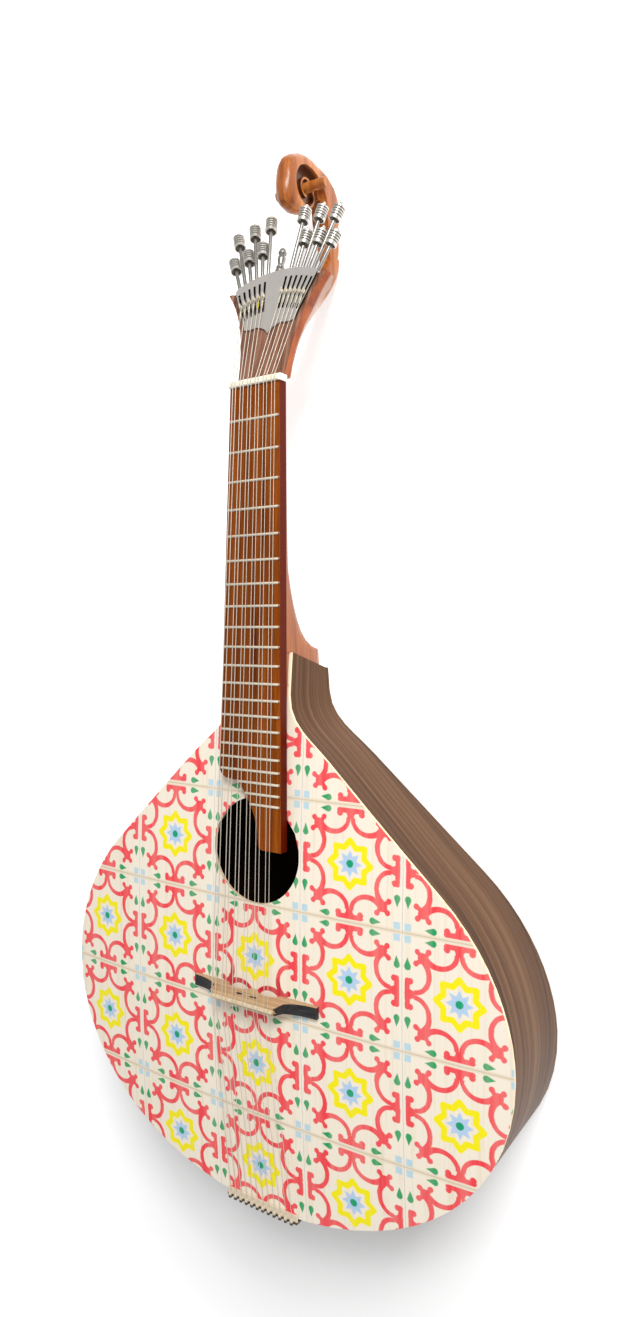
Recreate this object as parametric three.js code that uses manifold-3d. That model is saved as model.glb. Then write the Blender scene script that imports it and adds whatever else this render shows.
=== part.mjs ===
// Portuguese guitar, lying level on its back: it rests on the tail edge of the back and on the gooseneck.
// Millimetres. +Y runs to the head, +X to the treble side, +Z up out of the soundboard.
// While the pieces are made, y is zero one scale length below the nut, and z is zero at the soundboard's
// crown.
import * as THREE from "three";
import { mergeVertices } from "three/addons/utils/BufferGeometryUtils.js";
import Module from "manifold-3d";

const wasm = await Module();
wasm.setup();

// Fits shared by all pieces
const seatGap = 0.3;
const cutOverrun = 3;
const weldTolerance = 0.0001;

// Scale, neck and body lengths
const scaleLength = 440;
const neckFreeLength = 197;
const bodyLength = 425;
const bodyWidth = 400;
const widestFromTail = 153;
const depthAtHeel = 52;
const depthAtTail = 106;
const heelEndSlant = 13;

// Body outline, from the heel end and the centre line
const throatHalfWidth = 26;
const throatStraight = 31;
const throatFilletX = 62;
const throatFilletFromHeel = 78;
const shoulderX = 150;
const shoulderFromHeel = 161;
const lowerBoutRoundShare = 0.58;
const upperBoutRise = 38;
const shoulderReach = 45;
const throatReach = 22;

// Plates, ribs and what lies inside
const archRise = 9;
const archDropAtHeel = 11.6;
const archCrownFromHeel = 226;
const topThickness = 2.4;
const backThickness = 2.6;
const sideWall = 2;
const liningWidth = 6;
const liningHeight = 10;
const neckBlockLength = 56;
const tailBlockHalfWidth = 36;
const tailBlockLength = 18;
const braceWidth = 7;
const braceHeight = 13;
const upperTopBraceFromHeel = 88;
const lowerTopBraceFromHeel = 203;
const upperBackBraceFromHeel = 118;
const lowerBackBraceFromHeel = 310;
const soundHoleRadius = 39.5;
const soundHoleFromHeel = 148.5;

// Fretboard and frets
const boardTopAtNut = -3.4;
const boardAboveTopAtBassEnd = 1.36;
const boardAboveTopAtTrebleEnd = 0.4;
const boardThickness = 7.6;
const boardHalfWidthAtNut = 22.9;
const boardHalfWidthAtSaddle = 31.2;
const boardBassEnd = 148;
const boardTrebleEnd = 98;
const boardStepX = 8.5;
const boardCornerRadius = 5;
const boardTongueCornerLength = 13;
const boardTongueCornerDepth = 8;
const fretCount = 21;
const semitonesPerOctave = 12;
const fretWidth = 1.8;
const fretHeight = 1.1;
const fretInset = 0.9;

// Nut
const nutLength = 4.8;
const nutHalfWidth = 23.8;
const nutAboveBoard = 2.4;
const nutEndBevel = 1.6;
const nutRound = 1.4;
const nutNotchDepth = 0.9;

// Neck
const neckInset = 1.2;
const neckBackAtNut = 20;
const neckBackRunDepth = 21;
const neckBackRunFromHeel = 87;
const heelSweepFromHeel = 9;
const heelSweepDepth = 15;
const heelFootFromHeel = 1.5;
const heelInset = 1;
const tongueLength = 92;
const tongueMargin = 1.4;

// Head face and fan
const headTiltDegrees = 14.5;
const plateTipFromNut = 42;
const plateTipBelowTop = 18.8;
const fanFocusBelowTip = 46.4;
const firstRayDegrees = 6.2;
const rayStepDegrees = 3.1;
const raysPerSide = 6;
const slotInnerRadius = 66;
const slotOuterRadius = 92;
const slotWidth = 2;

// Tuner plate
const plateThickness = 1.2;
const plateTopRadius = 98.6;
const plateCornerRadius = 96.6;
const plateLowRadius = 57.8;
const plateSideDegrees = 23.2;
const plateWaveX = 12;
const plateWaveRise = 7;
const plateWaveBendRise = 5.6;

// Tuner frame behind the plate
const frameInnerRadius = 58.8;
const frameOuterRadius = 97.8;
const frameInnerBar = 4;
const frameOuterBar = 3.2;
const frameFloor = 1.2;
const frameSideDegrees = 22.8;
const pocketMargin = 0.5;

// Tuning screws
const threadRadius = 0.9;
const screwBoreClearance = 0.3;
const screwSeatDepth = 2.2;
const shankRadius = 1.5;
const knobRadius = 4.7;
const knobLength = 11;
const knobGrooveDepth = 0.7;
const knobGrooveCount = 3;
const knobSkirtDepth = 3;
const knobSkirtWall = 0.8;
const knobConeHeight = 2;
const knobButtonRadius = 1.3;
const knobButtonHeight = 1.8;
const shortKnobRadius = 118.9;
const longKnobRadius = 138.7;

// String hooks
const hookRestRadius = 79;
const hookBlockHalfWidth = 1.6;
const hookBlockHalfLength = 2.5;
const hookBlockHeight = 3.7;
const hookArmLength = 2.4;
const hookArmHeight = 2.6;
const hookLipLength = 1.6;
const hookLipHeight = 1;

// Finial on the plate's top edge
const finialHeight = 21;
const finialRadius = 3.5;
const finialTangDepth = 3;
const finialTangRadius = 0.8;

// Head wood
const headSideHeight = 9;
const headBackBevel = 5;
const headNeckEndDepthShare = 0.45;
const headTipX = 46;
const headTipRise = 42.6;
const headTopRadius = 96.5;
const headFlareX = 29;
const headFlareRise = 22;
const headNarrowRise = 8;
const keelHalfWidth = 7;
const keelFrontDrop = 3;
const keelFrontHandleDepth = 31;
const keelBackHandleDepth = 29;
const keelRoundness = 0.7;
const gooseneckThickness = 15.5;
const gooseneckFromNut = 126;

// Volute at the end of the gooseneck
const voluteRadius = 25;
const voluteEyeFromNut = 167;
const voluteEyeAboveBack = 49.5;
const voluteCrown = 10;
const voluteFlute = 0.5;
const voluteRim = 1.4;
const voluteWebHalfWidth = 2;
const eyePegRadius = 4;
const eyePegReach = 23;

// Bridge and saddle
const bridgeSetback = 14.5;
const bridgeHalfLength = 57;
const bridgeShoulderX = 30;
const bridgeHeight = 16.3;
const bridgeBaseThickness = 9;
const bridgeTopThickness = 5.4;
const wingRootHeight = 8.5;
const wingTipHeight = 2.4;
const archFootHalfWidth = 2.4;
const archSpan = 22;
const archHandleHeight = 6.6;
const eyeCutX = 6.5;
const eyeCutHeight = 10.4;
const eyeCutLength = 8;
const eyeCutDepth = 2.2;
const saddleThickness = 2;
const saddleSeatDepth = 2;
const saddleAboveBridge = 2.4;
const saddleEndMargin = 1.5;

// Strings
const coursesCount = 6;
const coursePitchAtNut = 7.2;
const pairGapAtNut = 2.8;
const coursePitchAtSaddle = 9.7;
const pairGapAtSaddle = 3.4;
const stringPitchAtTail = 5.3;
const thinnestStringRadius = 0.3;
const thickestStringRadius = 0.5;
const loopAbovePlate = 0.9;

// Tailpiece
const tailpieceHalfWidth = 33;
const tailpieceThickness = 1.5;
const tailpieceDrop = 26;
const tailpieceFlange = 5;
const toothWidth = 2;
const toothHeight = 2.6;
const toothLength = 2;
const tailScrewX = 22;
const tailScrewBelowTop = 15;
const tailScrewHeadRadius = 3.2;
const tailScrewHeadHeight = 1.6;
const tailScrewShankRadius = 1.4;
const tailScrewLength = 14;

// Places that follow from the sizes above
const nutY = scaleLength;
const heelY = scaleLength - neckFreeLength;
const tailY = heelY - bodyLength;
const widestY = tailY + widestFromTail;
const crownY = heelY - archCrownFromHeel;
const soundHoleY = heelY - soundHoleFromHeel;
const halfWidth = bodyWidth / 2;
const tilt = THREE.MathUtils.degToRad(headTiltDegrees);
const plateTipY = nutY + plateTipFromNut;
const plateTipZ = -plateTipBelowTop;
const headStartY = nutY + seatGap + nutLength + seatGap;
const screwDepth = plateThickness + seatGap + hookBlockHeight / 2;
const frameDepth = plateThickness + seatGap + hookBlockHeight + seatGap + frameFloor;

const materials = {
  spruce: finish(0xfdf0de, 0.45, 0),
  walnut: finish(0x82603f, 0.5, 0),
  cedar: finish(0xb9733f, 0.5, 0),
  rosewood: finish(0x7d3f24, 0.5, 0),
  maple: finish(0xc48f5e, 0.5, 0),
  bone: finish(0xf3efd9, 0.4, 0),
  nickel: finish(0xb9b3aa, 0.3, 1),
  steel: finish(0xd8d4cc, 0.3, 1),
  darkMetal: finish(0x4a443c, 0.4, 1),
};

function finish(color, roughness, metalness) {
  return new THREE.MeshStandardMaterial({ color, roughness, metalness });
}

// Solids

function solid(geometry) {
  const bare = geometry.index ? geometry.toNonIndexed() : geometry.clone();
  bare.deleteAttribute("normal");
  bare.deleteAttribute("uv");
  const merged = mergeVertices(bare, weldTolerance);
  const vertProperties = new Float32Array(merged.attributes.position.array);
  const triVerts = new Uint32Array(merged.index.array);
  return new wasm.Manifold(new wasm.Mesh({ numProp: 3, vertProperties, triVerts }));
}

function geometryOf(made) {
  const mesh = made.getMesh();
  const geometry = new THREE.BufferGeometry();
  geometry.setAttribute("position", new THREE.BufferAttribute(mesh.vertProperties, 3));
  geometry.setIndex(new THREE.BufferAttribute(mesh.triVerts, 1));
  return geometry;
}

function join(...geometries) {
  return geometryOf(geometries.map(solid).reduce((a, b) => a.add(b)));
}

function cut(geometry, ...tools) {
  return geometryOf(tools.map(solid).reduce((a, b) => a.subtract(b), solid(geometry)));
}

function signedVolume(positions, index) {
  const corner = (i) => new THREE.Vector3().fromArray(positions, 3 * index[i]);
  let six = 0;
  for (let i = 0; i < index.length; i += 3) {
    six += corner(i).dot(corner(i + 1).cross(corner(i + 2)));
  }
  return six;
}

// Triangles over a flat ring, in the ring's own order.
function capTriangles(ring) {
  const normal = new THREE.Vector3();
  ring.forEach((p, i) => normal.add(p.clone().cross(ring[(i + 1) % ring.length])));
  normal.normalize();
  const steep = Math.abs(normal.x) > Math.SQRT1_2;
  const helper = steep ? new THREE.Vector3(0, 1, 0) : new THREE.Vector3(1, 0, 0);
  const u = helper.cross(normal).normalize();
  const v = normal.clone().cross(u);
  const flat = ring.map((p) => new THREE.Vector2(p.dot(u), p.dot(v)));
  return THREE.ShapeUtils.triangulateShape(flat, []).map(([a, b, c]) => {
    const area = flat[b].clone().sub(flat[a]).cross(flat[c].clone().sub(flat[a]));
    return area > 0 ? [a, b, c] : [a, c, b];
  });
}

// A closed body through rings of equal point counts; a looped one joins its last ring to its first.
function loft(rings, looped = false) {
  const count = rings[0].length;
  const positions = rings.flat().flatMap((p) => [p.x, p.y, p.z]);
  let index = [];
  const last = looped ? rings.length : rings.length - 1;
  for (let i = 0; i < last; i++) {
    const a = i * count;
    const b = ((i + 1) % rings.length) * count;
    for (let j = 0; j < count; j++) {
      const k = (j + 1) % count;
      index.push(a + j, a + k, b + k, a + j, b + k, b + j);
    }
  }
  if (!looped) {
    const end = (rings.length - 1) * count;
    capTriangles(rings[0]).forEach(([a, b, c]) => index.push(a, c, b));
    capTriangles(rings.at(-1)).forEach(([a, b, c]) => index.push(end + a, end + b, end + c));
  }
  if (signedVolume(positions, index) < 0) index = index.reverse();
  const geometry = new THREE.BufferGeometry();
  geometry.setAttribute("position", new THREE.Float32BufferAttribute(positions, 3));
  geometry.setIndex(index);
  return geometry;
}

function extrude(shape, depth, curveSegments = 12) {
  return new THREE.ExtrudeGeometry(shape, { depth, bevelEnabled: false, curveSegments });
}

function box(x0, x1, y0, y1, z0, z1) {
  const made = new THREE.BoxGeometry(x1 - x0, y1 - y0, z1 - z0);
  return made.translate((x0 + x1) / 2, (y0 + y1) / 2, (z0 + z1) / 2);
}

function point(x, y, z) {
  return new THREE.Vector3(x, y, z);
}

function shapeOf(points) {
  return new THREE.Shape(points.map(([x, y]) => new THREE.Vector2(x, y)));
}

// A profile drawn in y and z, extruded across x from -half to +half.
function extrudeAcross(profile, half) {
  const made = extrude(shapeOf(profile), 2 * half);
  made.rotateY(Math.PI / 2);
  made.rotateX(Math.PI / 2);
  return made.translate(-half, 0, 0);
}

const guitar = new THREE.Group();

function place(name, geometry, material, parent = guitar) {
  const mesh = new THREE.Mesh(geometry, material);
  mesh.name = name;
  parent.add(mesh);
  return mesh;
}

// Surfaces of the body

function topZ(x, y) {
  return -archRise * (x / halfWidth) ** 2 - archDropAtHeel * ((y - crownY) / archCrownFromHeel) ** 2;
}

function undersideZ(x, y) {
  return topZ(x, y) - topThickness - seatGap;
}

const backSlope = (depthAtTail - depthAtHeel) / bodyLength;

function backZ(y) {
  return -archRise - depthAtHeel - backSlope * (heelY - y);
}

function insideBackZ(y) {
  return backZ(y) + backThickness + seatGap;
}

// Half outline of the body on the treble side, from the tail to the heel.
function halfOutline() {
  const path = new THREE.Path();
  const shoulderY = heelY - shoulderFromHeel;
  const filletY = heelY - throatFilletFromHeel;
  const straightY = heelY - throatStraight;
  const slope = new THREE.Vector2(throatFilletX - shoulderX, filletY - shoulderY).normalize();
  path.moveTo(0, tailY);
  path.bezierCurveTo(
    lowerBoutRoundShare * halfWidth, tailY,
    halfWidth, widestY - lowerBoutRoundShare * widestFromTail,
    halfWidth, widestY,
  );
  path.bezierCurveTo(
    halfWidth, widestY + upperBoutRise,
    shoulderX - shoulderReach * slope.x, shoulderY - shoulderReach * slope.y,
    shoulderX, shoulderY,
  );
  path.lineTo(throatFilletX, filletY);
  path.bezierCurveTo(
    throatFilletX + throatReach * slope.x, filletY + throatReach * slope.y,
    throatHalfWidth, straightY - throatReach,
    throatHalfWidth, straightY,
  );
  path.lineTo(throatHalfWidth, heelY);
  const steps = [16, 10, 3, 6, 2];
  const points = path.curves.flatMap((curve, i) => curve.getPoints(steps[i]).slice(i ? 1 : 0));
  return points;
}

const outline = halfOutline();

// The half outline moved inwards by a distance, still starting on the centre line.
function insetOutline(points, distance) {
  return points.map((p, i) => {
    const before = points[Math.max(i - 1, 0)];
    const after = points[Math.min(i + 1, points.length - 1)];
    const along = i ? after.clone().sub(before).normalize() : new THREE.Vector2(1, 0);
    return new THREE.Vector2(p.x - along.y * distance, p.y + along.x * distance);
  });
}

function mirrored(points) {
  return points.map((p) => new THREE.Vector2(-p.x, p.y));
}

// Half the width at y of a line that runs up from the tail.
function halfWidthAt(y, line) {
  const i = line.findIndex((p) => p.y >= y);
  const low = line[i - 1];
  const high = line[i];
  return low.x + ((high.x - low.x) * (y - low.y)) / (high.y - low.y);
}

// Soundboard: rings between the sound hole and the outline, each point on the arched surface.
function soundboard() {
  const edge = [...outline, ...mirrored(outline).reverse().slice(0, -1)];
  const centre = new THREE.Vector2(0, soundHoleY);
  const ringShares = [0, 0.25, 0.55, 0.8, 1];
  const flat = ringShares.map((share) =>
    edge.map((p) => {
      const hole = p.clone().sub(centre).setLength(soundHoleRadius).add(centre);
      return hole.lerp(p, share);
    }),
  );
  const upper = flat.map((ring) => ring.map((p) => point(p.x, p.y, topZ(p.x, p.y))));
  const lower = flat.map((ring) => ring.map((p) => point(p.x, p.y, topZ(p.x, p.y) - topThickness)));
  return loft([...upper, ...lower.reverse()], true);
}

// Back: the outline with its slanted heel end, laid on the sloping plane.
function back() {
  const rim = outline.map((p) => new THREE.Vector2(p.x, p.y));
  rim.at(-1).y -= heelEndSlant;
  rim.at(-2).y -= heelEndSlant / 2;
  const made = extrude(new THREE.Shape([...rim, ...mirrored(rim).reverse().slice(0, -1)]), backThickness);
  const positions = made.attributes.position;
  for (let i = 0; i < positions.count; i++) {
    positions.setZ(i, positions.getZ(i) + backZ(positions.getY(i)));
  }
  return made;
}

// How far a rib or block leans back at its lower edge, near the heel.
function leanAt(y) {
  const start = heelY - throatStraight;
  return heelEndSlant * THREE.MathUtils.clamp((y - start) / throatStraight, 0, 1);
}

// Sections of a strip that follows the body outline, between two insets and two heights.
function rimStrip(outer, inner, upperZ, lowerZ, side) {
  return outer.map((o, i) => {
    const n = inner[i];
    const lean = leanAt(o.y);
    return [
      point(side * o.x, o.y, upperZ(o.x, o.y)),
      point(side * n.x, n.y, upperZ(n.x, n.y)),
      point(side * n.x, n.y - lean, lowerZ(n.x, n.y - lean)),
      point(side * o.x, o.y - lean, lowerZ(o.x, o.y - lean)),
    ];
  });
}

function rib(side) {
  const outer = outline.map((p) => p.clone());
  const inner = insetOutline(outline, sideWall);
  outer[0].x = seatGap / 2;
  inner[0].x = seatGap / 2;
  const made = loft(rimStrip(outer, inner, undersideZ, (x, y) => insideBackZ(y), side));
  return cut(made, tailScrewTool(side * tailScrewX, tailScrewShankRadius + seatGap));
}

// A lining runs from the neck block round the tail and back to the neck block.
function lining(upperZ, lowerZ) {
  const reach = heelY - neckBlockLength - seatGap - liningWidth;
  const count = outline.filter((p) => p.y < reach).length;
  const outer = insetOutline(outline, sideWall + seatGap).slice(0, count);
  const inner = insetOutline(outline, sideWall + seatGap + liningWidth).slice(0, count);
  const treble = rimStrip(outer, inner, upperZ, lowerZ, 1);
  const bass = rimStrip(outer, inner, upperZ, lowerZ, -1);
  return loft([...bass.reverse(), ...treble.slice(1)]);
}

function topLining() {
  return lining(undersideZ, (x, y) => undersideZ(x, y) - liningHeight);
}

function backLining() {
  return lining((x, y) => insideBackZ(y) + liningHeight, (x, y) => insideBackZ(y));
}

function neckBlock() {
  const half = throatHalfWidth - sideWall - seatGap;
  const stations = [heelY - neckBlockLength, heelY - throatStraight, heelY];
  return loft(
    stations.map((y) => {
      const low = y - leanAt(y);
      return [
        point(-half, y, undersideZ(half, y)),
        point(0, y, undersideZ(0, y)),
        point(half, y, undersideZ(half, y)),
        point(half, low, insideBackZ(low)),
        point(-half, low, insideBackZ(low)),
      ];
    }),
  );
}

function tailEdgeY(x) {
  const i = outline.findIndex((p) => p.x >= x);
  const low = outline[Math.max(i - 1, 0)];
  const high = outline[Math.max(i, 1)];
  return low.y + ((high.y - low.y) * (x - low.x)) / (high.x - low.x);
}

function tailScrewTool(x, radius) {
  const from = tailY - cutOverrun;
  const reach = cutOverrun + tailScrewLength + seatGap;
  const tool = new THREE.CylinderGeometry(radius, radius, reach, 10);
  return tool.translate(x, from + reach / 2, tailScrewZ());
}

function tailScrewZ() {
  return topZ(0, tailY) - tailScrewBelowTop;
}

function tailScrewBores() {
  return [-1, 1].map((side) => tailScrewTool(side * tailScrewX, tailScrewShankRadius + seatGap));
}

function tailBlock() {
  const stationShares = [-1, -0.5, 0, 0.5, 1];
  const inner = tailY + sideWall + seatGap + tailBlockLength;
  const made = loft(
    stationShares.map((share) => {
      const x = share * tailBlockHalfWidth;
      const outer = tailEdgeY(Math.abs(x)) + sideWall + 2 * seatGap;
      const above = undersideZ(x, outer) - liningHeight - seatGap;
      return [
        point(x, outer, above),
        point(x, inner, above),
        point(x, inner, insideBackZ(inner) + liningHeight + seatGap),
        point(x, outer, insideBackZ(inner) + liningHeight + seatGap),
      ];
    }),
  );
  return cut(made, ...tailScrewBores());
}

// Braces cross the plates between the linings, and their ends are scalloped thinner.
function brace(y, heightOf, upward) {
  const endShares = [-1, -0.85, -0.5, 0, 0.5, 0.85, 1];
  const thinShares = [0.35, 0.8, 1, 1, 1, 0.8, 0.35];
  const low = y - braceWidth / 2;
  const high = y + braceWidth / 2;
  const reach = insideLining(low, high);
  return loft(
    endShares.map((share, i) => {
      const x = share * reach;
      const height = upward * braceHeight * thinShares[i];
      return [
        point(x, low, heightOf(x, low)),
        point(x, high, heightOf(x, high)),
        point(x, high, heightOf(x, y) + height),
        point(x, low, heightOf(x, y) + height),
      ];
    }),
  );
}

// Half width that is clear of the linings all the way between two places along the body.
function insideLining(low, high) {
  const line = insetOutline(outline, sideWall + 2 * seatGap + liningWidth);
  return Math.min(halfWidthAt(low, line), halfWidthAt(high, line)) - seatGap;
}

function topBrace(fromHeel) {
  return brace(heelY - fromHeel, undersideZ, -1);
}

function backBrace(fromHeel) {
  return brace(heelY - fromHeel, (x, y) => insideBackZ(y), 1);
}

// Fretboard

// Slope that lifts the board's underside clear of the soundboard at one end.
function slopeOver(endY, clearance) {
  return (topZ(0, endY) + clearance + boardThickness - boardTopAtNut) / (nutY - endY);
}

const boardSlope = Math.max(
  slopeOver(boardBassEnd, boardAboveTopAtBassEnd),
  slopeOver(boardTrebleEnd, boardAboveTopAtTrebleEnd),
);

function boardTopZ(y) {
  return boardTopAtNut + boardSlope * (nutY - y);
}

function boardHalfWidth(y) {
  return boardHalfWidthAtNut + ((boardHalfWidthAtSaddle - boardHalfWidthAtNut) * (nutY - y)) / scaleLength;
}

// The fretboard's end: square on the bass side, swept down to a tongue on the treble side.
function boardShape(inset) {
  const shape = new THREE.Shape();
  const bassEnd = boardHalfWidth(boardBassEnd) - inset;
  const trebleEnd = boardHalfWidth(boardTrebleEnd) - inset;
  const nutEnd = boardHalfWidthAtNut - inset;
  const run = boardBassEnd - boardTrebleEnd;
  const sweepShares = [0.18, 0.5];
  const cornerX = boardTongueCornerLength - bassEnd;
  const sweepX = (cornerX - boardStepX) / 2;
  shape.moveTo(-nutEnd, nutY);
  shape.lineTo(-bassEnd, boardBassEnd + boardTongueCornerDepth);
  shape.quadraticCurveTo(-bassEnd, boardBassEnd, cornerX, boardBassEnd);
  shape.lineTo(sweepX, boardBassEnd);
  shape.bezierCurveTo(
    sweepX + boardStepX, boardBassEnd - sweepShares[0] * run,
    boardStepX, boardBassEnd - sweepShares[1] * run,
    boardStepX, boardTrebleEnd + boardCornerRadius,
  );
  shape.quadraticCurveTo(boardStepX, boardTrebleEnd, boardStepX + boardCornerRadius, boardTrebleEnd);
  shape.lineTo(trebleEnd, boardTrebleEnd);
  shape.lineTo(nutEnd, nutY);
  return shape;
}

// Leans a flat prism onto the fretboard's slope.
function leanOnBoard(geometry) {
  const positions = geometry.attributes.position;
  for (let i = 0; i < positions.count; i++) {
    positions.setZ(i, positions.getZ(i) + boardTopZ(positions.getY(i)));
  }
  return geometry;
}

function fretY(n) {
  return scaleLength * 2 ** (-n / semitonesPerOctave);
}

function fretBars() {
  const half = boardHalfWidthAtSaddle + cutOverrun;
  return Array.from({ length: fretCount }, (_, i) => {
    const y = fretY(i + 1);
    const foot = -fretHeight;
    return extrudeAcross(
      [
        [y - fretWidth / 2, foot],
        [y + fretWidth / 2, foot],
        [y + fretWidth / 2, fretHeight / 2],
        [y + fretWidth / 4, fretHeight],
        [y - fretWidth / 4, fretHeight],
        [y - fretWidth / 2, fretHeight / 2],
      ],
      half,
    );
  });
}

function fretboard() {
  const board = extrude(boardShape(0), boardThickness, 6).translate(0, 0, -boardThickness);
  const reach = extrude(boardShape(fretInset), 2 * cutOverrun, 6).translate(0, 0, -cutOverrun);
  const bars = fretBars().map(solid).reduce((a, b) => a.add(b));
  return leanOnBoard(geometryOf(solid(board).add(bars.intersect(solid(reach)))));
}

// Neck: rounded sections from the nut to the heel, with a tongue over the soundboard under the fretboard

function neckTopAt(y) {
  return boardTopZ(y) - boardThickness - seatGap;
}

// Half a superellipse hung from a straight top edge; its points lean from the top's y to the low point's.
function neckRing(half, topY, lowY, lowZ, exponent) {
  const pointCount = 11;
  return Array.from({ length: pointCount }, (_, i) => {
    const angle = (Math.PI * i) / (pointCount - 1);
    const across = Math.sign(Math.cos(angle)) * Math.abs(Math.cos(angle)) ** (2 / exponent);
    const down = Math.abs(Math.sin(angle)) ** (2 / exponent);
    const z = THREE.MathUtils.lerp(neckTopAt(topY), lowZ, down);
    return point(half * across, THREE.MathUtils.lerp(topY, lowY, down), z);
  });
}

// The neck's back line in y and z, drawn as a curve from the nut to the foot of the heel.
function neckBackCurve() {
  return new THREE.CubicBezierCurve(
    new THREE.Vector2(headStartY - seatGap, -neckBackAtNut),
    new THREE.Vector2(heelY + neckBackRunFromHeel, -neckBackRunDepth),
    new THREE.Vector2(heelY + heelSweepFromHeel, -heelSweepDepth),
    new THREE.Vector2(heelY + heelFootFromHeel, backZ(heelY)),
  );
}

// The body's own end, which the heel is cut to.
function bodyEndTool() {
  const low = heelY - heelEndSlant;
  const half = halfWidth;
  return extrudeAcross(
    [
      [heelY + seatGap, cutOverrun],
      [heelY + seatGap, undersideZ(0, heelY)],
      [low + seatGap, insideBackZ(low)],
      [low + seatGap, -depthAtTail],
      [tailY, -depthAtTail],
      [tailY, cutOverrun],
    ],
    half,
  );
}

function neckTongue() {
  const half = throatHalfWidth - tongueMargin;
  const start = heelY + heelFootFromHeel;
  const end = heelY - tongueLength;
  const stationShares = [0, 0.3, 0.65, 1];
  return loft(
    stationShares.map((share) => {
      const y = THREE.MathUtils.lerp(start, end, share);
      return [
        point(-half, y, neckTopAt(y)),
        point(half, y, neckTopAt(y)),
        point(half, y, topZ(half, y) + seatGap),
        point(0, y, topZ(0, y) + seatGap),
        point(-half, y, topZ(half, y) + seatGap),
      ];
    }),
  );
}

function neck() {
  const shaftExponent = 2;
  const heelExponent = 5;
  const stations = neckBackCurve().getPoints(14);
  const rings = stations.map((low, i) => {
    const share = Math.max(0, (2 * i) / (stations.length - 1) - 1);
    const exponent = THREE.MathUtils.lerp(shaftExponent, heelExponent, share);
    const half = boardHalfWidth(low.x) - THREE.MathUtils.lerp(neckInset, heelInset, share);
    return neckRing(half, low.x, low.x, low.y, exponent);
  });
  const footY = heelY - 2 * heelEndSlant;
  const footHalf = boardHalfWidth(heelY) - heelInset;
  rings.push(neckRing(footHalf, heelY - heelEndSlant, footY, backZ(footY), heelExponent));
  const shaft = solid(loft(rings)).subtract(solid(bodyEndTool()));
  return geometryOf(shaft.add(solid(neckTongue())));
}

// Head. Its face is a tilted plane with a frame of its own: x across, y up the slope from the plate's tip,
// and z off it.

const face = new THREE.Group();
face.position.set(0, plateTipY, plateTipZ);
face.rotation.x = -tilt;
guitar.add(face);
face.updateMatrixWorld(true);

// The angle of each of the twelve rays of the fan, from the bass side to the treble side.
function rayAngles() {
  const side = Array.from({ length: raysPerSide }, (_, k) => firstRayDegrees + k * rayStepDegrees);
  return [...side.map((a) => -a).reverse(), ...side].map((a) => THREE.MathUtils.degToRad(a));
}

const rays = rayAngles();

function rayPoint(angle, radius, across = 0) {
  const x = radius * Math.sin(angle) + across * Math.cos(angle);
  const y = radius * Math.cos(angle) - across * Math.sin(angle) - fanFocusBelowTip;
  return new THREE.Vector2(x, y);
}

// A frame at the fan's focus whose y axis runs out along one ray.
function rayFrame(angle) {
  const frame = new THREE.Group();
  frame.position.set(0, -fanFocusBelowTip, 0);
  frame.rotation.z = -angle;
  return frame;
}

function rayMatrix(angle) {
  const frame = rayFrame(angle);
  frame.updateMatrix();
  return frame.matrix;
}

function arcPoints(radius, halfDegrees, count) {
  return Array.from({ length: count + 1 }, (_, i) => {
    const angle = THREE.MathUtils.degToRad(halfDegrees * (1 - (2 * i) / count));
    return rayPoint(angle, radius);
  });
}

// Fan shape between two radii, drawn from treble to bass along the outer arc.
function sector(innerRadius, outerRadius, halfDegrees, count = 8) {
  return new THREE.Shape([
    ...arcPoints(outerRadius, halfDegrees, count),
    ...arcPoints(innerRadius, halfDegrees, count).reverse(),
  ]);
}

// Tuner plate: fan with a waved lower edge that comes to a tip, and a slot over each screw.
function tunerPlate() {
  const low = rayPoint(THREE.MathUtils.degToRad(plateSideDegrees), plateLowRadius);
  const corner = rayPoint(THREE.MathUtils.degToRad(plateSideDegrees), plateCornerRadius);
  const shape = new THREE.Shape();
  shape.moveTo(0, 0);
  shape.quadraticCurveTo(plateWaveX / 4, plateWaveBendRise, plateWaveX, plateWaveRise);
  shape.quadraticCurveTo((plateWaveX + low.x) / 2, plateWaveBendRise, low.x, low.y);
  shape.lineTo(corner.x, corner.y);
  const topArc = arcPoints(plateTopRadius, plateSideDegrees - rayStepDegrees / 2, 12);
  topArc.forEach((p) => shape.lineTo(p.x, p.y));
  shape.lineTo(-corner.x, corner.y);
  shape.lineTo(-low.x, low.y);
  shape.quadraticCurveTo(-(plateWaveX + low.x) / 2, plateWaveBendRise, -plateWaveX, plateWaveRise);
  shape.quadraticCurveTo(-plateWaveX / 4, plateWaveBendRise, 0, 0);
  shape.holes = rays.map((angle) => {
    const half = slotWidth / 2;
    return new THREE.Path([
      rayPoint(angle, slotInnerRadius, -half),
      rayPoint(angle, slotInnerRadius, half),
      rayPoint(angle, slotOuterRadius, half),
      rayPoint(angle, slotOuterRadius, -half),
    ]);
  });
  return extrude(shape, plateThickness, 4).translate(0, 0, -plateThickness);
}

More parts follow.
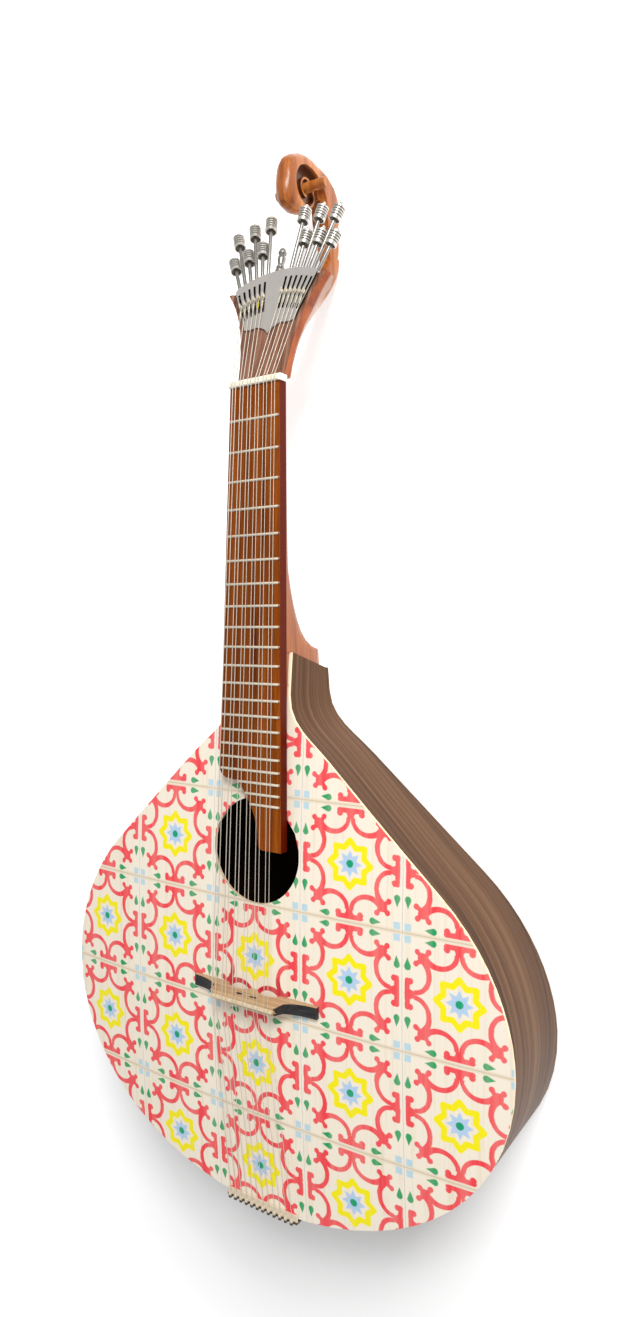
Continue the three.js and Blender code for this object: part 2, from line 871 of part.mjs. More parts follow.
// Tuner frame: a floor with a bar across each end; the screws turn in bores in both bars.
function tunerFrame() {
  const height = frameDepth - plateThickness - seatGap;
  const body = extrude(sector(frameInnerRadius, frameOuterRadius, frameSideDegrees), height);
  body.translate(0, 0, -frameDepth);
  const innerEdge = frameInnerRadius + frameInnerBar;
  const outerEdge = frameOuterRadius - frameOuterBar;
  const room = extrude(sector(innerEdge, outerEdge, 2 * frameSideDegrees), frameDepth);
  room.translate(0, 0, frameFloor - frameDepth);
  const bores = rays.map((angle) => {
    const radius = threadRadius + screwBoreClearance;
    const from = innerEdge - screwSeatDepth - seatGap;
    const reach = frameOuterRadius + cutOverrun - from;
    const tool = new THREE.CylinderGeometry(radius, radius, reach, 8);
    return tool.translate(0, from + reach / 2, -screwDepth).applyMatrix4(rayMatrix(angle));
  });
  const tangRadius = finialTangRadius + seatGap;
  const tangBore = new THREE.CylinderGeometry(tangRadius, tangRadius, 2 * cutOverrun, 8);
  tangBore.translate(0, outerEdge + cutOverrun - seatGap - fanFocusBelowTip, -screwDepth);
  return cut(body, room, tangBore, ...bores);
}

// Tuning screw: thread, shank and grooved knob with a hollow skirt and a button on its cone.
function tuningScrew(knobStart) {
  const tip = frameInnerRadius + frameInnerBar - screwSeatDepth;
  const shankStart = frameOuterRadius + seatGap;
  const knobEnd = knobStart + knobLength;
  const ringPitch = (knobLength - knobSkirtDepth) / (knobGrooveCount + 1);
  const profile = [
    [0, tip],
    [threadRadius, tip],
    [threadRadius, shankStart],
    [shankRadius, shankStart],
    [shankRadius, knobStart + knobSkirtDepth],
    [knobRadius - knobSkirtWall, knobStart + knobSkirtDepth],
    [knobRadius - knobSkirtWall, knobStart],
    [knobRadius, knobStart],
  ];
  for (let i = 0; i < knobGrooveCount; i++) {
    const y = knobStart + knobSkirtDepth + i * ringPitch;
    profile.push([knobRadius, y], [knobRadius - knobGrooveDepth, y + ringPitch / 2]);
  }
  profile.push(
    [knobRadius, knobEnd - ringPitch],
    [knobRadius - knobGrooveDepth, knobEnd],
    [knobButtonRadius, knobEnd + knobConeHeight],
    [knobButtonRadius, knobEnd + knobConeHeight + knobButtonHeight],
    [0, knobEnd + knobConeHeight + knobButtonHeight],
  );
  return new THREE.LatheGeometry(profile.map(([x, y]) => new THREE.Vector2(x, y)), 9);
}

// String hook: a block bored for the screw, with an arm up through the slot and a lip that holds the loop.
function stringHook() {
  const rise = hookBlockHeight / 2;
  const section = new THREE.Shape();
  section.moveTo(-hookBlockHalfWidth, -rise);
  section.lineTo(hookBlockHalfWidth, -rise);
  section.lineTo(hookBlockHalfWidth, rise);
  section.lineTo(-hookBlockHalfWidth, rise);
  const bore = new THREE.Path();
  bore.absarc(0, 0, threadRadius + screwBoreClearance, 0, 2 * Math.PI);
  section.holes.push(bore);
  const block = extrude(section, 2 * hookBlockHalfLength, 4);
  block.rotateX(Math.PI / 2).translate(0, hookBlockHalfLength, 0);
  const armFoot = rise - seatGap;
  const armTop = rise + seatGap + plateThickness + hookArmHeight;
  const half = hookArmLength / 2;
  const arm = extrudeAcross(
    [
      [-half, armFoot],
      [half, armFoot],
      [half, armTop - hookLipHeight],
      [half + hookLipLength, armTop - hookLipHeight / 2],
      [half + hookLipLength, armTop],
      [-half, armTop],
    ],
    slotWidth / 2 - seatGap,
  );
  return join(block, arm).translate(0, hookRestRadius, -screwDepth);
}

// Finial: a small turned baluster whose tang sits in the plate's upper edge.
function finial() {
  const radiusShares = [1, 0.65, 0.9, 0.7, 0.95, 0.75, 0];
  const heightShares = [0.12, 0.17, 0.4, 0.65, 0.82, 0.94, 1];
  const profile = [
    [0, -finialTangDepth],
    [finialTangRadius, -finialTangDepth],
    [finialTangRadius, seatGap],
    [finialRadius, seatGap],
    ...radiusShares.map((share, i) => [share * finialRadius, heightShares[i] * finialHeight]),
  ];
  const made = new THREE.LatheGeometry(profile.map(([x, y]) => new THREE.Vector2(x, y)), 12);
  return made.translate(0, plateTopRadius - fanFocusBelowTip, -screwDepth);
}

// Head slab outline on its face, from the nut end up one side, over the top and down the other.
function slabOutline() {
  const path = new THREE.Path();
  const start = -plateTipFromNut - cutOverrun;
  const topHalfDegrees = plateSideDegrees + 1;
  const top = arcPoints(headTopRadius, topHalfDegrees, 10);
  path.moveTo(boardHalfWidthAtNut - neckInset, start);
  path.bezierCurveTo(
    boardHalfWidthAtNut - neckInset, -headNarrowRise,
    headFlareX, headFlareRise,
    headTipX, headTipRise,
  );
  path.quadraticCurveTo((headTipX + top[0].x) / 2, headTipRise + seatGap, top[0].x, top[0].y);
  const side = path.curves.flatMap((curve, i) => curve.getPoints(i ? 2 : 10).slice(i ? 1 : 0));
  return [...side, ...top.slice(1, -1), ...mirrored(side).reverse()];
}

function headSlab() {
  const rim = slabOutline();
  const narrowed = 1 - headBackBevel / headTipX;
  const low = rim.map((p) => {
    const drop = (headBackBevel * Math.max(p.y, 0)) / headTipRise;
    return new THREE.Vector2(p.x * narrowed, p.y - drop);
  });
  const top = -plateThickness - seatGap;
  const start = -plateTipFromNut;
  const depthShare = (y) => THREE.MathUtils.mapLinear(y, start, headTipRise, headNeckEndDepthShare, 1);
  const rings = [
    rim.map((p) => point(p.x, p.y, top)),
    rim.map((p) => point(p.x, p.y, top - headSideHeight * depthShare(p.y))),
    low.map((p) => point(p.x, p.y, top - (headSideHeight + headBackBevel) * depthShare(p.y))),
  ];
  return loft(rings).applyMatrix4(face.matrixWorld);
}

const backLevel = backZ(tailY);
const voluteEyeY = nutY + voluteEyeFromNut;
const voluteEyeZ = backLevel + voluteEyeAboveBack;

// A rounded section between a front and a back point, both given as y and z.
function keelRing(front, low, half) {
  const pointCount = 12;
  const middle = front.clone().add(low).multiplyScalar(0.5);
  const reach = front.clone().sub(low).multiplyScalar(0.5);
  return Array.from({ length: pointCount }, (_, i) => {
    const angle = (2 * Math.PI * (i + 0.5)) / pointCount;
    const roundness = (value) => Math.sign(value) * Math.abs(value) ** keelRoundness;
    const along = roundness(Math.sin(angle));
    return point(half * roundness(Math.cos(angle)), middle.x + reach.x * along, middle.y + reach.y * along);
  });
}

// Keel: sweeps from the neck's back down to the gooseneck, and narrows as it goes.
function keel() {
  const endY = nutY + gooseneckFromNut;
  const frontEnd = backLevel + gooseneckThickness;
  const backShares = [0.39, 0.7];
  const frontShares = [0.55, 0.92];
  const startY = headStartY - cutOverrun;
  const run = endY - startY;
  const backLine = new THREE.CubicBezierCurve(
    new THREE.Vector2(startY, -neckBackAtNut),
    new THREE.Vector2(startY + backShares[0] * run, -keelBackHandleDepth),
    new THREE.Vector2(startY + backShares[1] * run, backLevel),
    new THREE.Vector2(endY, backLevel),
  );
  const frontLine = new THREE.CubicBezierCurve(
    new THREE.Vector2(startY, neckTopAt(nutY) - keelFrontDrop),
    new THREE.Vector2(startY + frontShares[0] * run, -keelFrontHandleDepth),
    new THREE.Vector2(startY + frontShares[1] * run, frontEnd),
    new THREE.Vector2(endY, frontEnd),
  );
  const steps = 12;
  const narrowShare = 0.85;
  return loft(
    Array.from({ length: steps + 1 }, (_, i) => {
      const share = i / steps;
      const narrow = THREE.MathUtils.smoothstep(share, 0, narrowShare);
      const half = THREE.MathUtils.lerp(boardHalfWidthAtNut - neckInset, keelHalfWidth, narrow);
      return keelRing(frontLine.getPoint(share), backLine.getPoint(share), half);
    }),
  );
}

// Volute, which rests on its lowest point. At each angle round the eye, the shares give the band's outer
// radius, its inner radius and its half width.
const voluteTurns = [
  { degrees: -143, shares: [2.72, 2.3, 0.2] },
  { degrees: -130, shares: [2.58, 1.5, 0.28] },
  { degrees: -115, shares: [2.3, 1.14, 0.3] },
  { degrees: -93, shares: [2.1, 1, 0.32] },
  { degrees: -72, shares: [1.82, 0.84, 0.33] },
  { degrees: -60, shares: [1.6, 0.76, 0.33] },
  { degrees: -45, shares: [1.34, 0.68, 0.335] },
  { degrees: -30, shares: [1.13, 0.62, 0.335] },
  { degrees: 0, shares: [1.04, 0.6, 0.335] },
  { degrees: 30, shares: [1.02, 0.64, 0.335] },
  { degrees: 60, shares: [1.13, 0.71, 0.335] },
  { degrees: 90, shares: [1.11, 0.77, 0.335] },
  { degrees: 110, shares: [1.22, 0.79, 0.335] },
  { degrees: 122, shares: [1.3, 0.8, 0.335] },
  { degrees: 128, shares: [1.32, 0.79, 0.33] },
  { degrees: 145, shares: [1.12, 0.73, 0.32] },
  { degrees: 170, shares: [0.84, 0.62, 0.29] },
  { degrees: 215, shares: [0.62, 0.47, 0.24] },
  { degrees: 270, shares: [0.45, 0.34, 0.2] },
  { degrees: 330, shares: [0.36, 0.27, 0.19] },
  { degrees: 405, shares: [0.32, 0.25, 0.19] },
  { degrees: 540, shares: [0.31, 0.24, 0.19] },
];

function voluteAt(degrees) {
  const i = Math.max(1, voluteTurns.findIndex((turn) => turn.degrees >= degrees));
  const a = voluteTurns[i - 1];
  const b = voluteTurns[i];
  const easeShare = 0.4;
  const even = THREE.MathUtils.inverseLerp(a.degrees, b.degrees, degrees);
  const eased = THREE.MathUtils.smoothstep(degrees, a.degrees, b.degrees);
  const share = THREE.MathUtils.lerp(even, eased, easeShare);
  const sizes = a.shares.map((value, n) => THREE.MathUtils.lerp(value, b.shares[n], share));
  const [outer, inner, half] = sizes.map((value) => voluteRadius * value);
  const below = -Math.sin(THREE.MathUtils.degToRad(degrees));
  const level = below > 0 ? voluteEyeAboveBack / below : outer;
  return [Math.min(outer, level), inner, half];
}

function volutePoint(degrees, radius, x) {
  const angle = THREE.MathUtils.degToRad(degrees);
  return point(x, voluteEyeY + radius * Math.cos(angle), voluteEyeZ + radius * Math.sin(angle));
}

function voluteBand() {
  const first = voluteTurns[0].degrees;
  const last = voluteTurns.at(-1).degrees;
  const steps = 84;
  const crownShares = [
    { across: 1, drop: 1 },
    { across: 0.97, drop: 0.74 },
    { across: 0.89, drop: 0.52 },
    { across: 0.75, drop: 0.32 },
    { across: 0.52, drop: 0.13, flute: 1 },
    { across: 0.26, drop: 0.03 },
  ];
  return loft(
    Array.from({ length: steps + 1 }, (_, i) => {
      const degrees = first + ((last - first) * i) / steps;
      const [outer, inner, half] = voluteAt(degrees);
      const crown = THREE.MathUtils.clamp(outer - inner - voluteRim, 0, voluteCrown);
      const flute = Math.min(voluteFlute, (outer - inner) / 6);
      const side = crownShares.map((share) => {
        const radius = outer - crown * share.drop - flute * (share.flute ?? 0);
        return [radius, half * share.across];
      });
      side.unshift([inner, half]);
      return [
        ...side.map(([radius, x]) => volutePoint(degrees, radius, -x)),
        ...side.reverse().map(([radius, x]) => volutePoint(degrees, radius, x)),
      ];
    }),
  );
}

// Thin wall that closes the volute between its turns.
function voluteWeb() {
  const startDegrees = -85;
  const steps = 20;
  const ring = Array.from({ length: steps }, (_, i) => {
    const degrees = startDegrees + (360 * i) / steps;
    const [outer, inner] = voluteAt(degrees);
    return [degrees, (outer + inner) / 2];
  });
  const faceAt = (x) => ring.map(([degrees, radius]) => volutePoint(degrees, radius, x));
  return loft([faceAt(-voluteWebHalfWidth), faceAt(voluteWebHalfWidth)]);
}

function eyePeg() {
  const made = new THREE.CylinderGeometry(eyePegRadius, eyePegRadius, 2 * eyePegReach, 24);
  return made.rotateZ(Math.PI / 2).translate(0, voluteEyeY, voluteEyeZ);
}

// Room for the tuner frame and hooks, open at the top edge of the slab.
function framePocket() {
  const depth = frameDepth + seatGap;
  const reach = headTopRadius + 4 * cutOverrun;
  const shape = sector(frameInnerRadius - seatGap, reach, frameSideDegrees + pocketMargin);
  return extrude(shape, depth + cutOverrun).translate(0, 0, -depth).applyMatrix4(face.matrixWorld);
}

function head() {
  const pieces = [headSlab(), keel(), voluteBand(), voluteWeb(), eyePeg()];
  const beyond = extrudeAcross(
    [
      [heelY, -depthAtTail],
      [headStartY, -depthAtTail],
      [headStartY, cutOverrun],
      [heelY, cutOverrun],
    ],
    halfWidth,
  );
  const whole = pieces.map(solid).reduce((a, b) => a.add(b));
  return geometryOf(whole.subtract(solid(beyond)).subtract(solid(framePocket())));
}

// Strings

// Both strings of each course, from the bass side to the treble side.
function stringTable() {
  const count = 2 * coursesCount;
  return Array.from({ length: count }, (_, i) => {
    const course = Math.floor(i / 2) - (coursesCount - 1) / 2;
    const twin = i % 2 ? 0.5 : -0.5;
    return {
      number: i + 1,
      radius: THREE.MathUtils.lerp(thickestStringRadius, thinnestStringRadius, i / (count - 1)),
      nutX: course * coursePitchAtNut + twin * pairGapAtNut,
      saddleX: course * coursePitchAtSaddle + twin * pairGapAtSaddle,
      tailX: (i - (count - 1) / 2) * stringPitchAtTail,
      angle: rays[i],
    };
  });
}

const strings = stringTable();

function nutTopZ() {
  return boardTopAtNut + nutAboveBoard;
}

function stringNutZ() {
  return nutTopZ() - nutNotchDepth;
}

function saddleTopZ() {
  return bridgeHeight + saddleAboveBridge;
}

function nutBlock() {
  const foot = neckTopAt(nutY) + seatGap;
  const near = nutY + seatGap;
  const far = near + nutLength;
  const body = extrudeAcross(
    [
      [near, foot],
      [far, foot],
      [far, nutTopZ() - nutRound],
      [far - nutRound, nutTopZ()],
      [near + nutRound / 2, nutTopZ()],
      [near, nutTopZ() - nutRound / 2],
    ],
    nutHalfWidth,
  );
  const bevels = [-1, 1].map((side) => {
    const tool = box(-cutOverrun, cutOverrun, near - cutOverrun, far + cutOverrun, -cutOverrun, cutOverrun);
    tool.rotateY(Math.PI / 4);
    return tool.translate(side * (nutHalfWidth + cutOverrun * Math.SQRT2 - nutEndBevel), 0, nutTopZ());
  });
  const notches = strings.map((s) => {
    const half = s.radius + seatGap;
    const floor = stringNutZ() - half;
    const sky = floor + 2 * cutOverrun;
    return box(s.nutX - half, s.nutX + half, near - cutOverrun, far + cutOverrun, floor, sky);
  });
  return cut(body, ...bevels, ...notches);
}

// A string runs from its tailpiece tooth over the saddle and the nut to its hook.
function stringRun(s) {
  const hook = rayPoint(s.angle, hookRestRadius - hookArmLength / 2 - seatGap);
  const end = point(hook.x, hook.y, loopAbovePlate).applyMatrix4(face.matrixWorld);
  const nutNear = nutY + seatGap;
  const nutFar = nutNear + nutLength;
  const saddle = saddleY();
  return [
    point(s.tailX, tailY + toothLength + seatGap, tailStringZ()),
    point(s.saddleX, saddle - saddleThickness / 2, saddleTopZ() + s.radius),
    point(s.saddleX, saddle + saddleThickness / 2, saddleTopZ() + s.radius),
    point(s.nutX, nutNear, stringNutZ()),
    point(s.nutX, nutFar, stringNutZ()),
    end,
  ];
}

function string(s) {
  const sides = 6;
  const run = stringRun(s);
  return loft(
    run.map((p) =>
      Array.from({ length: sides }, (_, i) => {
        const angle = (2 * Math.PI * i) / sides;
        return point(p.x + s.radius * Math.cos(angle), p.y, p.z + s.radius * Math.sin(angle));
      }),
    ),
  );
}

// Bridge

function saddleY() {
  return -bridgeSetback;
}

function bridgeFootZ(x) {
  return topZ(x, saddleY() - bridgeBaseThickness / 2) + seatGap;
}

// The bridge seen from the tail: two arches beside a centre foot, and wings that slope down from the middle.
function bridgeShape() {
  const shape = new THREE.Shape();
  const inner = archFootHalfWidth;
  const outer = inner + archSpan;
  const innerFoot = bridgeFootZ(0);
  const outerFoot = bridgeFootZ(outer);
  const endFoot = bridgeFootZ(bridgeHalfLength);
  const pull = archSpan / 6;
  const handleZ = outerFoot + archHandleHeight;
  const wingBend = bridgeShoulderX + archSpan / 2;
  const wingRoot = bridgeShoulderX + wingTipHeight;
  shape.moveTo(-inner, innerFoot);
  shape.lineTo(inner, innerFoot);
  shape.bezierCurveTo(inner + pull, handleZ, outer - pull, handleZ, outer, outerFoot);
  shape.lineTo(bridgeHalfLength, endFoot);
  shape.lineTo(bridgeHalfLength, wingTipHeight);
  shape.quadraticCurveTo(wingBend, wingTipHeight, wingRoot, wingRootHeight);
  shape.lineTo(bridgeShoulderX, bridgeHeight);
  shape.lineTo(-bridgeShoulderX, bridgeHeight);
  shape.lineTo(-wingRoot, wingRootHeight);
  shape.quadraticCurveTo(-wingBend, wingTipHeight, -bridgeHalfLength, wingTipHeight);
  shape.lineTo(-bridgeHalfLength, endFoot);
  shape.lineTo(-outer, outerFoot);
  shape.bezierCurveTo(-outer + pull, handleZ, -inner - pull, handleZ, -inner, innerFoot);
  shape.holes = [-1, 1].map(eyeCut);
  return shape;
}

// Pointed oval opening beside the bridge's middle.
function eyeCut(side) {
  const eye = new THREE.Path();
  const x = side * eyeCutX;
  const half = eyeCutLength / 2;
  eye.moveTo(x - half, eyeCutHeight);
  eye.quadraticCurveTo(x, eyeCutHeight + eyeCutDepth, x + half, eyeCutHeight);
  eye.quadraticCurveTo(x, eyeCutHeight - eyeCutDepth, x - half, eyeCutHeight);
  return eye;
}

function bridge() {
  const made = extrude(bridgeShape(), bridgeBaseThickness, 6);
  made.rotateX(Math.PI / 2);
  made.translate(0, bridgeBaseThickness / 2, 0);
  const positions = made.attributes.position;
  for (let i = 0; i < positions.count; i++) {
    const share = THREE.MathUtils.clamp(positions.getZ(i) / bridgeHeight, 0, 1);
    const scale = THREE.MathUtils.lerp(1, bridgeTopThickness / bridgeBaseThickness, share);
    positions.setY(i, positions.getY(i) * scale + saddleY());
  }
  const half = saddleThickness / 2 + seatGap;
  const end = bridgeShoulderX + cutOverrun;
  const floor = bridgeHeight - saddleSeatDepth;
  return cut(made, box(-end, end, saddleY() - half, saddleY() + half, floor, bridgeHeight + cutOverrun));
}

function saddle() {
  const half = bridgeShoulderX - saddleEndMargin;
  const foot = bridgeHeight - saddleSeatDepth + seatGap;
  const y = saddleY();
  const thick = saddleThickness / 2;
  const body = box(-half, half, y - thick, y + thick, foot, saddleTopZ());
  const notches = strings.map((s) => {
    const reach = s.radius + seatGap;
    const low = saddleTopZ() - seatGap;
    return box(s.saddleX - reach, s.saddleX + reach, y - cutOverrun, y + cutOverrun, low, low + cutOverrun);
  });
  return cut(body, ...notches);
}

// Tailpiece: a plate on the tail rib, whose flange folds over the soundboard's edge and carries a tooth
// for each string

function tailFlangeZ() {
  return topZ(0, tailY) + seatGap;
}

function tailStringZ() {
  return tailFlangeZ() + tailpieceThickness + seatGap + thickestStringRadius;
}

function tailpiece() {
  const outerY = tailY - seatGap - tailpieceThickness;
  const flange = tailFlangeZ();
  const flangeEnd = topZ(0, tailY + tailpieceFlange) + seatGap;
  const plate = extrudeAcross(
    [
      [outerY, flange - tailpieceDrop],
      [tailY - seatGap, flange - tailpieceDrop],
      [tailY - seatGap, flange],
      [tailY + tailpieceFlange, flangeEnd],
      [tailY + tailpieceFlange, flangeEnd + tailpieceThickness],
      [outerY, flange + tailpieceThickness],
    ],
    tailpieceHalfWidth,
  );
  const top = flange + tailpieceThickness;
  const teeth = strings.map((s) => {
    const half = toothWidth / 2;
    const tip = top + toothHeight;
    return box(s.tailX - half, s.tailX + half, outerY, tailY + toothLength, top - seatGap, tip);
  });
  const toothed = [plate, ...teeth].map(solid).reduce((a, b) => a.add(b));
  return geometryOf(tailScrewBores().map(solid).reduce((a, b) => a.subtract(b), toothed));
}

// Round-headed screw through the tailpiece and the rib into the tail block.
function tailpieceScrew(side) {
  const headStart = tailY - 2 * seatGap - tailpieceThickness;
  const crownShare = 0.6;
  const profile = [
    [0, headStart - tailScrewHeadHeight],
    [crownShare * tailScrewHeadRadius, headStart - tailScrewHeadHeight],
    [tailScrewHeadRadius, headStart],
    [tailScrewShankRadius, headStart],
    [tailScrewShankRadius, headStart + tailScrewLength - tailScrewShankRadius],
    [0, headStart + tailScrewLength],
  ];
  const made = new THREE.LatheGeometry(profile.map(([x, y]) => new THREE.Vector2(x, y)), 10);
  return made.translate(side * tailScrewX, 0, tailScrewZ());
}

// Assembly

place("soundboard", soundboard(), materials.spruce);
place("back", back(), materials.walnut);
place("bass_side", rib(-1), materials.walnut);
place("treble_side", rib(1), materials.walnut);
place("neck_block", neckBlock(), materials.cedar);
place("tail_block", tailBlock(), materials.cedar);
place("top_lining", topLining(), materials.cedar);
place("back_lining", backLining(), materials.cedar);
place("upper_top_brace", topBrace(upperTopBraceFromHeel), materials.cedar);
place("lower_top_brace", topBrace(lowerTopBraceFromHeel), materials.cedar);
place("upper_back_brace", backBrace(upperBackBraceFromHeel), materials.cedar);
place("lower_back_brace", backBrace(lowerBackBraceFromHeel), materials.cedar);
place("neck", neck(), materials.cedar);
place("fretboard", fretboard(), materials.rosewood);
place("nut", nutBlock(), materials.bone);
place("head", head(), materials.maple);
place("tuner_plate", tunerPlate(), materials.nickel, face);
place("tuner_frame", tunerFrame(), materials.nickel, face);
place("finial", finial(), materials.nickel, face);
place("bridge", bridge(), materials.maple);
place("saddle", saddle(), materials.bone);
place("tailpiece", tailpiece(), materials.darkMetal);
place("tailpiece_screw_1", tailpieceScrew(-1), materials.steel);
place("tailpiece_screw_2", tailpieceScrew(1), materials.steel);
strings.forEach((s) => {
  const frame = rayFrame(s.angle);
  face.add(frame);
  const fromMiddle = s.number <= raysPerSide ? raysPerSide - s.number : s.number - raysPerSide - 1;
  const knobStart = fromMiddle % 2 ? shortKnobRadius : longKnobRadius;
  const screw = tuningScrew(knobStart).translate(0, 0, -screwDepth);
  place(`tuning_screw_${s.number}`, screw, materials.nickel, frame);
  place(`string_hook_${s.number}`, stringHook(), materials.steel, frame);
  place(`string_${s.number}`, string(s), materials.steel);
});

// The guitar stands on z zero with the middle of its bounding box over the origin.
const bounds = new THREE.Box3().setFromObject(guitar);
const centre = bounds.getCenter(new THREE.Vector3());
guitar.position.set(-centre.x, -centre.y, -bounds.min.z);

export default guitar;
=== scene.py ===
"""Portuguese guitar with a tile-patterned soundboard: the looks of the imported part.

Metres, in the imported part's own frame: +Y runs to the head, +X to the treble side, +Z up. Named
sizes are millimetres of the making frame, unless a comment says otherwise.
"""

import math

import bmesh
import bpy
from mathutils import Matrix, Vector


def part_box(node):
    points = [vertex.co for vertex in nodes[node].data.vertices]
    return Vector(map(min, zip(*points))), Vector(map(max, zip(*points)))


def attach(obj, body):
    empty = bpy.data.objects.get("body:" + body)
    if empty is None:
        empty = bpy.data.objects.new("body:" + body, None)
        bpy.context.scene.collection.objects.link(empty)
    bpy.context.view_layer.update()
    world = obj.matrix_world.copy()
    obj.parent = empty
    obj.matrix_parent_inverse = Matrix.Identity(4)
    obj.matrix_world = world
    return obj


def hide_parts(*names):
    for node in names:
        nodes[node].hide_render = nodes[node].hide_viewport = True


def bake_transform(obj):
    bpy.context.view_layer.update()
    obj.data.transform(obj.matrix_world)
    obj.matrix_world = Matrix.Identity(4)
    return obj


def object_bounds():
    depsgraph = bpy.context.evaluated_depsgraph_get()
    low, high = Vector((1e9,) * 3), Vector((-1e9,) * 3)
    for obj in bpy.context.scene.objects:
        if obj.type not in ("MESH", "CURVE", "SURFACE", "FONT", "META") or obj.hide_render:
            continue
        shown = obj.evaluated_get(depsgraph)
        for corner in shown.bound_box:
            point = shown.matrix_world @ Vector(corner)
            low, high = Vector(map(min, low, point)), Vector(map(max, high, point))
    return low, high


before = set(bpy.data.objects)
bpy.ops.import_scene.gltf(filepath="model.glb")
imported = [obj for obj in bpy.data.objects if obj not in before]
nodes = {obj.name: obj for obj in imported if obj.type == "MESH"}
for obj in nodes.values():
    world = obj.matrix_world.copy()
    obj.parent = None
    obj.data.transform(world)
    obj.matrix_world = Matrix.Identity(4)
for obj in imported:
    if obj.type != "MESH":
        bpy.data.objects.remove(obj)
cad_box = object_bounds()

MM = 0.001
MERGE = 0.001 * MM

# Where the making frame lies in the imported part. Its y counts from one scale length below the nut,
# where the fretboard ends, and its z from the crown of the soundboard.
SCALE = 440.0
ORIGIN_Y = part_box("fretboard")[1][1] / MM - SCALE
ORIGIN_Z = 115.0

# Body, soundboard and fretboard. The fretboard would have its whole rise at y 0, past its end.
TAIL_Y = -182.0
ARCH_DROP = 11.6
ARCH_CROWN_Y = 17.0
ARCH_LENGTH = 226.0
BOARD_Z_AT_NUT = -3.4
BOARD_RISE = 12.75

# Head and tuner fan. Distances of the fan count out from its focus, and its rays are in degrees.
TILT = math.radians(14.5)
PLATE_TIP = (482.0, -18.8)
FOCUS = 46.4
FIRST_RAY = 6.2
RAY_STEP = 3.1
FRAME_INNER = 58.8
PLATE_TOP = 98.6
POCKET_HALF = math.radians(23.2)
SCREW_DEPTH = 3.35
HOOK_REST = 79.0
VOLUTE_EYE = (607.0, -65.5)
STRINGS = 12

# The printed pattern: the tile's side, where a tile has its middle on the soundboard's middle line,
# and where the print ends.
TILE = 81.7
TILE_Y = 96.3
PRINT_TOP = 190.0


def at(x, y, z):
    """A point in metres from millimetres of the making frame."""
    return Vector((x, y + ORIGIN_Y, z + ORIGIN_Z)) * MM


def top_z(y):
    """Top of the arched soundboard along its middle."""
    return -ARCH_DROP * ((y - ARCH_CROWN_Y) / ARCH_LENGTH) ** 2


def board_z(y):
    """Top of the fretboard."""
    return BOARD_Z_AT_NUT + BOARD_RISE * (SCALE - y) / SCALE


# The head's tilted face: millimetres from the plate's tip, with z off the plate's underside.
FACE = (
    Matrix.Translation(at(0, *PLATE_TIP))
    @ Matrix.Rotation(-TILT, 4, "X")
    @ Matrix.Diagonal((MM, MM, MM, 1))
)


def from_middle(number):
    """How many rays string number's ray is away from the middle pair."""
    return number - 7 if number > 6 else 6 - number


def ray_angle(number):
    """Angle of string number's ray from the middle of the fan; the treble side is positive."""
    angle = math.radians(FIRST_RAY + RAY_STEP * from_middle(number))
    return angle if number > 6 else -angle


def ray_frame(number):
    """Millimetres along y out from the fan's focus, z off the plate."""
    return FACE @ Matrix.Translation((0, -FOCUS, 0)) @ Matrix.Rotation(-ray_angle(number), 4, "Z")


# Shaders


def linear(r, g, b):
    """A colour read in sRGB 0..255, as the shader wants it."""
    def one(v):
        v /= 255
        return v / 12.92 if v <= 0.04045 else ((v + 0.055) / 1.055) ** 2.4

    return (one(r), one(g), one(b), 1.0)


